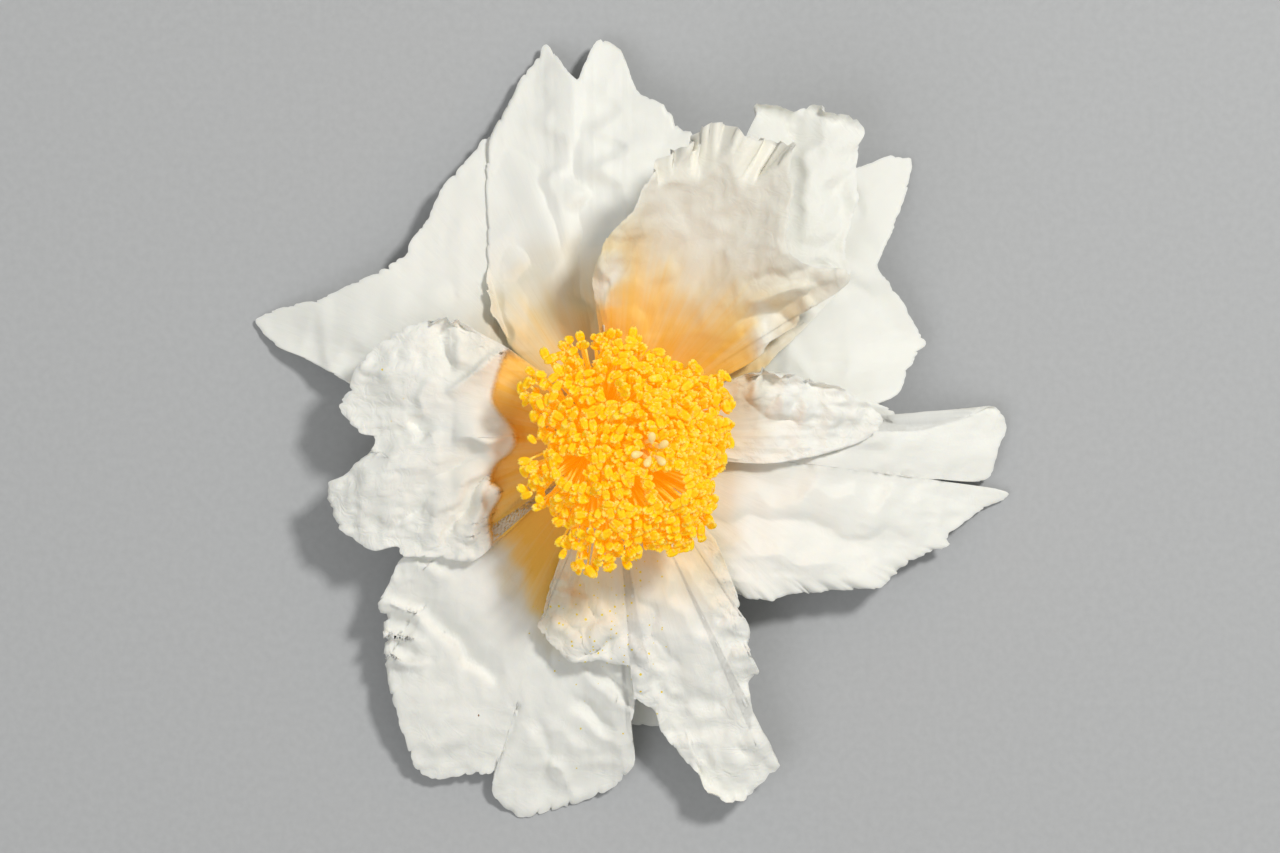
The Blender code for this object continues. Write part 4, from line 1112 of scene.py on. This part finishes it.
# %% Pistil
STIGMAS = ((3.1, -1.5), (4.6, -2.4), (1.1, -3.7), (2.6, -4.6), (4.3, -4.5))
STIGMA_HEIGHTS = (34.5, 34.2, 34.4, 34.0, 34.3)
STIGMA_LENGTH = 2.1
STIGMA_TILT = np.radians(24)
STYLE_RADIUS = 0.34
OVARY_LINE = ((0.3, 17.6), (1.5, 17.65), (1.95, 18.6), (1.8, 19.8), (1.2, 20.9), (0.3, 21.4))
STYLE_STEPS, STYLE_SIDES = 26, 10
OVARY_STEPS, OVARY_SIDES = 20, 24
STIGMA_STEPS, STIGMA_SIDES = 12, 14


def turned_surface(profile, centre, sides):
    """The points of a profile of (radius, height) carried round an upright axis, as rings; closed_grid
    gives them faces and a cap at each end.
    """
    turn = np.linspace(0, 2 * np.pi, sides, endpoint=False)[None, :]
    radius, height = profile[:, :1], profile[:, 1:2]
    x, y = centre[0] + radius * np.cos(turn), centre[1] + radius * np.sin(turn)
    return np.stack([x, y, height + 0 * turn], axis=-1)


def pistil_material():
    """Style and stigma: cream, slightly wet, greener low down, with a weak painted glow that stands for
    light scattered in the brush.
    """
    # The emission is painted light: a glow for light scattered among the stamens, not a lamp.
    material, tree = new_material(
        "pale_moist_style", Roughness=0.45, Emission_Color=colour("#FFC040"), Emission_Strength=0.12,
        Subsurface_Weight=0.3, Subsurface_Radius=(1.0, 0.8, 0.4), Subsurface_Scale=0.001)
    place = add_node(tree, "TexCoord")["Object"]
    parts = add_node(tree, "SeparateXYZ", Vector=place)
    height = add_node(tree, "MapRange", Value=parts["Z"], i1=0.018, i2=0.035)
    hue = add_node(tree, "ValToRGB", {"stops": (
        (0.0, "#B7B46A"), (0.4, "#F0C860"), (0.85, "#FBD27A"), (1.0, "#FFE09A"))}, Fac=height[0])
    grain = add_node(tree, "TexNoise", Vector=place, Scale=3000.0, Detail=2.0)
    bump = add_node(tree, "Bump", Height=grain["Fac"], Distance=0.00006, Strength=0.6)
    finish_material(tree, hue["Color"], bump["Normal"])
    return material


def style_tubes():
    """Five tubes from the ovary to the stigmas. Each bows inwards by a sine that grows with height."""
    t = np.linspace(0, 1, STYLE_STEPS)[None, :, None]
    tips = np.column_stack([STIGMAS, STIGMA_HEIGHTS])[:, None]
    foot = np.array([AXIS[0], AXIS[1], BRUSH_FOOT_HEIGHT + 1.5])
    out = tips[..., :2] - BRUSH_HEAD
    base = foot + 0.25 * np.concatenate([out, 0 * out[..., :1]], axis=-1)
    paths = base + (tips - base) * t
    paths[..., :2] -= out * 0.5 * np.sin(np.pi * t) * t
    radii = STYLE_RADIUS + 0.12 * (1 - t[:, :, 0]) + 0 * paths[..., 0]
    return tubes(paths, radii, STYLE_SIDES)


def stigma_eggs():
    """Five flattened eggs that lean outwards from the middle of the five. Their half width is the root
    of a sine, wider towards the far end."""
    share = np.linspace(0.02, 0.98, STIGMA_STEPS)[:, None]
    turn = np.linspace(0, 2 * np.pi, STIGMA_SIDES, endpoint=False)[None, :]
    wide = np.sin(np.pi * share) ** 0.5 * (0.42 + 0.62 * share)
    egg = np.stack([STIGMA_LENGTH * (share - 0.4) + 0 * turn, 0.78 * wide * np.cos(turn),
                    0.46 * wide * np.sin(turn)], axis=-1).reshape(-1, 3)
    tips = np.column_stack([STIGMAS, STIGMA_HEIGHTS])
    heading = np.arctan2(*(tips[:, :2] - np.mean(STIGMAS, axis=0)).T[::-1])
    return turned_anthers(egg, tips, heading, 0 * heading, 0 * heading + STIGMA_TILT)


def grow_pistil():
    """Styles, a turned ovary and stigmas in one mesh, as they grow in one piece."""
    styles, stigmas, count = style_tubes(), stigma_eggs(), len(STIGMAS)
    ovary = turned_surface(smooth_line(OVARY_LINE, OVARY_STEPS), AXIS, OVARY_SIDES)
    first_ovary = count * STYLE_STEPS * STYLE_SIDES
    first_egg = first_ovary + OVARY_STEPS * OVARY_SIDES
    faces = repeat_faces(closed_grid(STYLE_STEPS, STYLE_SIDES), count, STYLE_STEPS * STYLE_SIDES)
    faces += [group + first_ovary for group in closed_grid(OVARY_STEPS, OVARY_SIDES)]
    eggs = repeat_faces(closed_grid(STIGMA_STEPS, STIGMA_SIDES), count, STIGMA_STEPS * STIGMA_SIDES)
    faces += [group + first_egg for group in eggs]
    points = np.vstack([part.reshape(-1, 3) for part in (styles, ovary, stigmas)])
    mesh = make_mesh("styles_and_ovary", points, faces)
    return add_piece("styles_and_ovary", mesh, [pistil_material()], "pistil")


print("pistil:", grow_pistil().name)


# %% [markdown]
# ## Scales under the flower
# Five sepals and five bracts cup the petals from below. They are leathery, brown and faintly striped,
# with a thin pale edge, and their outline is a round spoon. They are made as the petals are, from a
# profile carried outwards and round, and only the seeds and the profile tell them apart.

# %% Scales
SCALE_STEP = 72.0
SCALE_WIDTH = 64.0
SEPAL_PROFILE = ((5.9, 8.5), (9.5, 8.2), (13.0, 8.3), (15.5, 9.0))
BRACT_PROFILE = ((4.9, 5.9), (7.5, 5.4), (10.0, 5.7), (12.0, 6.6))
SCALE_THICKNESS = 0.8
SCALE_ROUNDING = 0.34
FIRST_SEPAL = 18


def scale_sheet(profile, direction, seed):
    """A sheet that follows a (radius, height) profile outwards. Its reach falls off to the sides by a
    power of 2.5, which rounds the tip, and its surface is lightly ribbed."""
    u = np.linspace(0, 1, 40)[:, None]
    v = np.linspace(-1, 1, 56)[None, :]
    line = smooth_line([(radius, height, 0) for radius, height in profile], 80)
    share = u * (1 - SCALE_ROUNDING * np.abs(v) ** 2.5)
    radius = np.interp(share, np.linspace(0, 1, 80), line[:, 0])
    height = np.interp(share, np.linspace(0, 1, 80), line[:, 1]) + 0.45
    turn = np.radians(direction + 0.5 * SCALE_WIDTH * v * (0.86 + 0.14 * np.sin(np.pi * u)))
    ribs = 0.10 * np.sin(v * 26 + 2 * soft_noise(3 * u + 0 * v, 2 * v + 0 * u, seed)) * np.sin(np.pi * u)
    height = height + ribs + 0.12 * soft_noise(6 * u + 0 * v, 5 * v + 0 * u, seed + 1)
    x, y = AXIS[0] + radius * np.cos(turn), AXIS[1] + radius * np.sin(turn)
    uv = np.stack([v * 6 + 0 * u, u * 10 + 0 * v], axis=-1)
    return np.stack([x, y, height], axis=-1), uv, np.maximum(np.abs(v) + 0 * u, u + 0 * v)


def scale_material(name, dark, mid, edge):
    """Bud scale: dry, leathery skin with silky down along it and a thin papery edge."""
    material, tree = new_material(name, Roughness=0.62, Sheen_Weight=0.25, Sheen_Roughness=0.4)
    place = add_node(tree, "TexCoord")
    rim = add_node(tree, "Attribute", {"attribute_name": "rim"})
    stretch = add_node(tree, "Mapping", Vector=place["UV"], Scale=(2.4, 0.3, 1.0))
    down = add_node(tree, "TexNoise", Vector=stretch["Vector"], Scale=1.0, Detail=4.0)
    skin = add_node(tree, "ValToRGB", {"stops": ((0.3, dark), (0.7, mid))}, Fac=down["Fac"])
    border = add_node(tree, "ValToRGB", {"stops": ((0.86, "#000000"), (0.98, "#D8D8D8"))}, Fac=rim["Fac"])
    hue = add_node(tree, "Mix", {"data_type": "RGBA"}, i0=border["Color"], i6=skin["Color"],
                   i7=colour(edge))
    bump = add_node(tree, "Bump", Height=down["Fac"], Distance=0.0002, Strength=0.8)
    finish_material(tree, hue[2], bump["Normal"])
    return material


sepal_skin = scale_material("leathery_sepal", "#5A5230", "#8C8250", "#B9A878")
bract_skin = scale_material("dry_papery_bract", "#4A3420", "#7A5C3A", "#A88B62")


def grow_scale(name, profile, direction, seed, skin):
    """One scale: a closed sheet under the petals."""
    sheet, uv, rim = scale_sheet(profile, direction, seed)
    points, quads = sheet_faces(sheet, SCALE_THICKNESS)
    mesh = make_mesh(name + "_scale", points, [quads], both_sides(uv))
    add_values(mesh, "rim", both_sides(rim))
    return add_piece(name + "_scale", mesh, [skin], name)


for number in range(5):
    turn = FIRST_SEPAL + SCALE_STEP * number
    grow_scale(f"sepal_{number + 1}", SEPAL_PROFILE, turn, 300 + number, sepal_skin)
    turn = FIRST_SEPAL + SCALE_STEP * (number + 0.5)
    grow_scale(f"bract_{number + 1}", BRACT_PROFILE, turn, 330 + number, bract_skin)
print("scales: 5 sepals and 5 bracts")


# %% [markdown]
# ## Receptacle and stalk
# A short green stalk widens into the disc that carries every other part. It is an outline turned round
# the axis with a little unevenness, and its cut end is flat and paler.

# %% Stalk
STALK_LINE = ((0.2, 17.4), (4.5, 17.3), (5.3, 16.6), (5.4, 11.2), (5.1, 9.1), (4.35, 7.4), (4.05, 5.2),
              (3.15, 3.9), (2.6, 2.6), (2.55, 0.7), (2.35, 0.05), (0.2, 0.0))
STALK_STEPS, STALK_SIDES = 90, 64


def stalk_material():
    """Stalk: green bark with brown flecks, a moist pale cut at the bottom, and a creamy yellow disc at
    the top, where petals and stamens are joined to it."""
    material, tree = new_material("green_stalk_bark", Roughness=0.6)
    place = add_node(tree, "TexCoord")["Object"]
    streaks = add_node(tree, "Mapping", Vector=place, Scale=(900, 900, 160))
    flecks = add_node(tree, "TexNoise", Vector=streaks["Vector"], Scale=1.0, Detail=4.0)["Fac"]
    bark = add_node(tree, "ValToRGB", {"stops": ((0.3, "#4E4A2A"), (0.55, "#6F7040"), (0.75, "#8B8A5A"))},
                    Fac=flecks)
    height = add_node(tree, "SeparateXYZ", Vector=place)["Z"]
    cut = add_node(tree, "MapRange", Value=height, i1=0.0001, i2=0.0003, i3=1.0, i4=0.0)
    upper = add_node(tree, "MapRange", Value=height, i1=0.0095, i2=0.0125)
    stem = add_node(tree, "Mix", {"data_type": "RGBA"}, i0=cut[0], i6=bark["Color"], i7=colour("#C9C79A"))
    whole = add_node(tree, "Mix", {"data_type": "RGBA"}, i0=upper[0], i6=stem[2], i7=colour("#F0C060"))
    bump = add_node(tree, "Bump", Height=flecks, Distance=0.0003, Strength=0.8)
    finish_material(tree, whole[2], bump["Normal"])
    return material


def grow_stalk():
    """The turned outline, pushed in and out by up to 4 % so that it isn't a lathe's work."""
    line = smooth_line(STALK_LINE, STALK_STEPS)
    wall = turned_surface(line, (0, 0), STALK_SIDES)
    turn = np.linspace(0, 2 * np.pi, STALK_SIDES, endpoint=False)[None, :]
    uneven = 1 - 0.04 * (1 + soft_noise(3 + 2 * np.cos(turn), line[:, 1:] / 3 + 3 * np.sin(turn), 77)) / 2
    wall[..., :2] = AXIS + wall[..., :2] * uneven[..., None]
    wall[..., 2] = np.maximum(wall[..., 2], 0)
    faces = closed_grid(STALK_STEPS, STALK_SIDES)
    mesh = make_mesh("stalk_with_receptacle", wall[::-1].reshape(-1, 3), faces)
    return add_piece("stalk_with_receptacle", mesh, [stalk_material()], "receptacle_and_stalk")


print("stalk:", grow_stalk().name)


# %% [markdown]
# ## Table top
# A plain pale grey floor: grey enough that white petals stand off it. It has no edge in view, because
# a table's edge behind a flower draws the eye away.

# %% Floor
FLOOR_SIDE = 6.0


def add_floor():
    """A wide flat square just under the flower."""
    mesh = bpy.data.meshes.new("floor")
    half = FLOOR_SIDE / 2
    corners = [(-half, -half, 0), (half, -half, 0), (half, half, 0), (-half, half, 0)]
    mesh.from_pydata(corners, [], [(0, 1, 2, 3)])
    floor = bpy.data.objects.new("floor", mesh)
    bpy.context.scene.collection.objects.link(floor)
    material, tree = new_material("pale_matte_table", Roughness=0.8)
    place = add_node(tree, "TexCoord")["Object"]
    grain = add_node(tree, "TexNoise", Vector=place, Scale=900.0, Detail=2.0)
    hue = add_node(tree, "ValToRGB", {"stops": ((0.3, "#B4B6B8"), (0.7, "#B9BBBD"))}, Fac=grain["Fac"])
    finish_material(tree, hue["Color"])
    mesh.materials.append(material)
    return floor


print("floor:", add_floor().name, "m across:", FLOOR_SIDE)
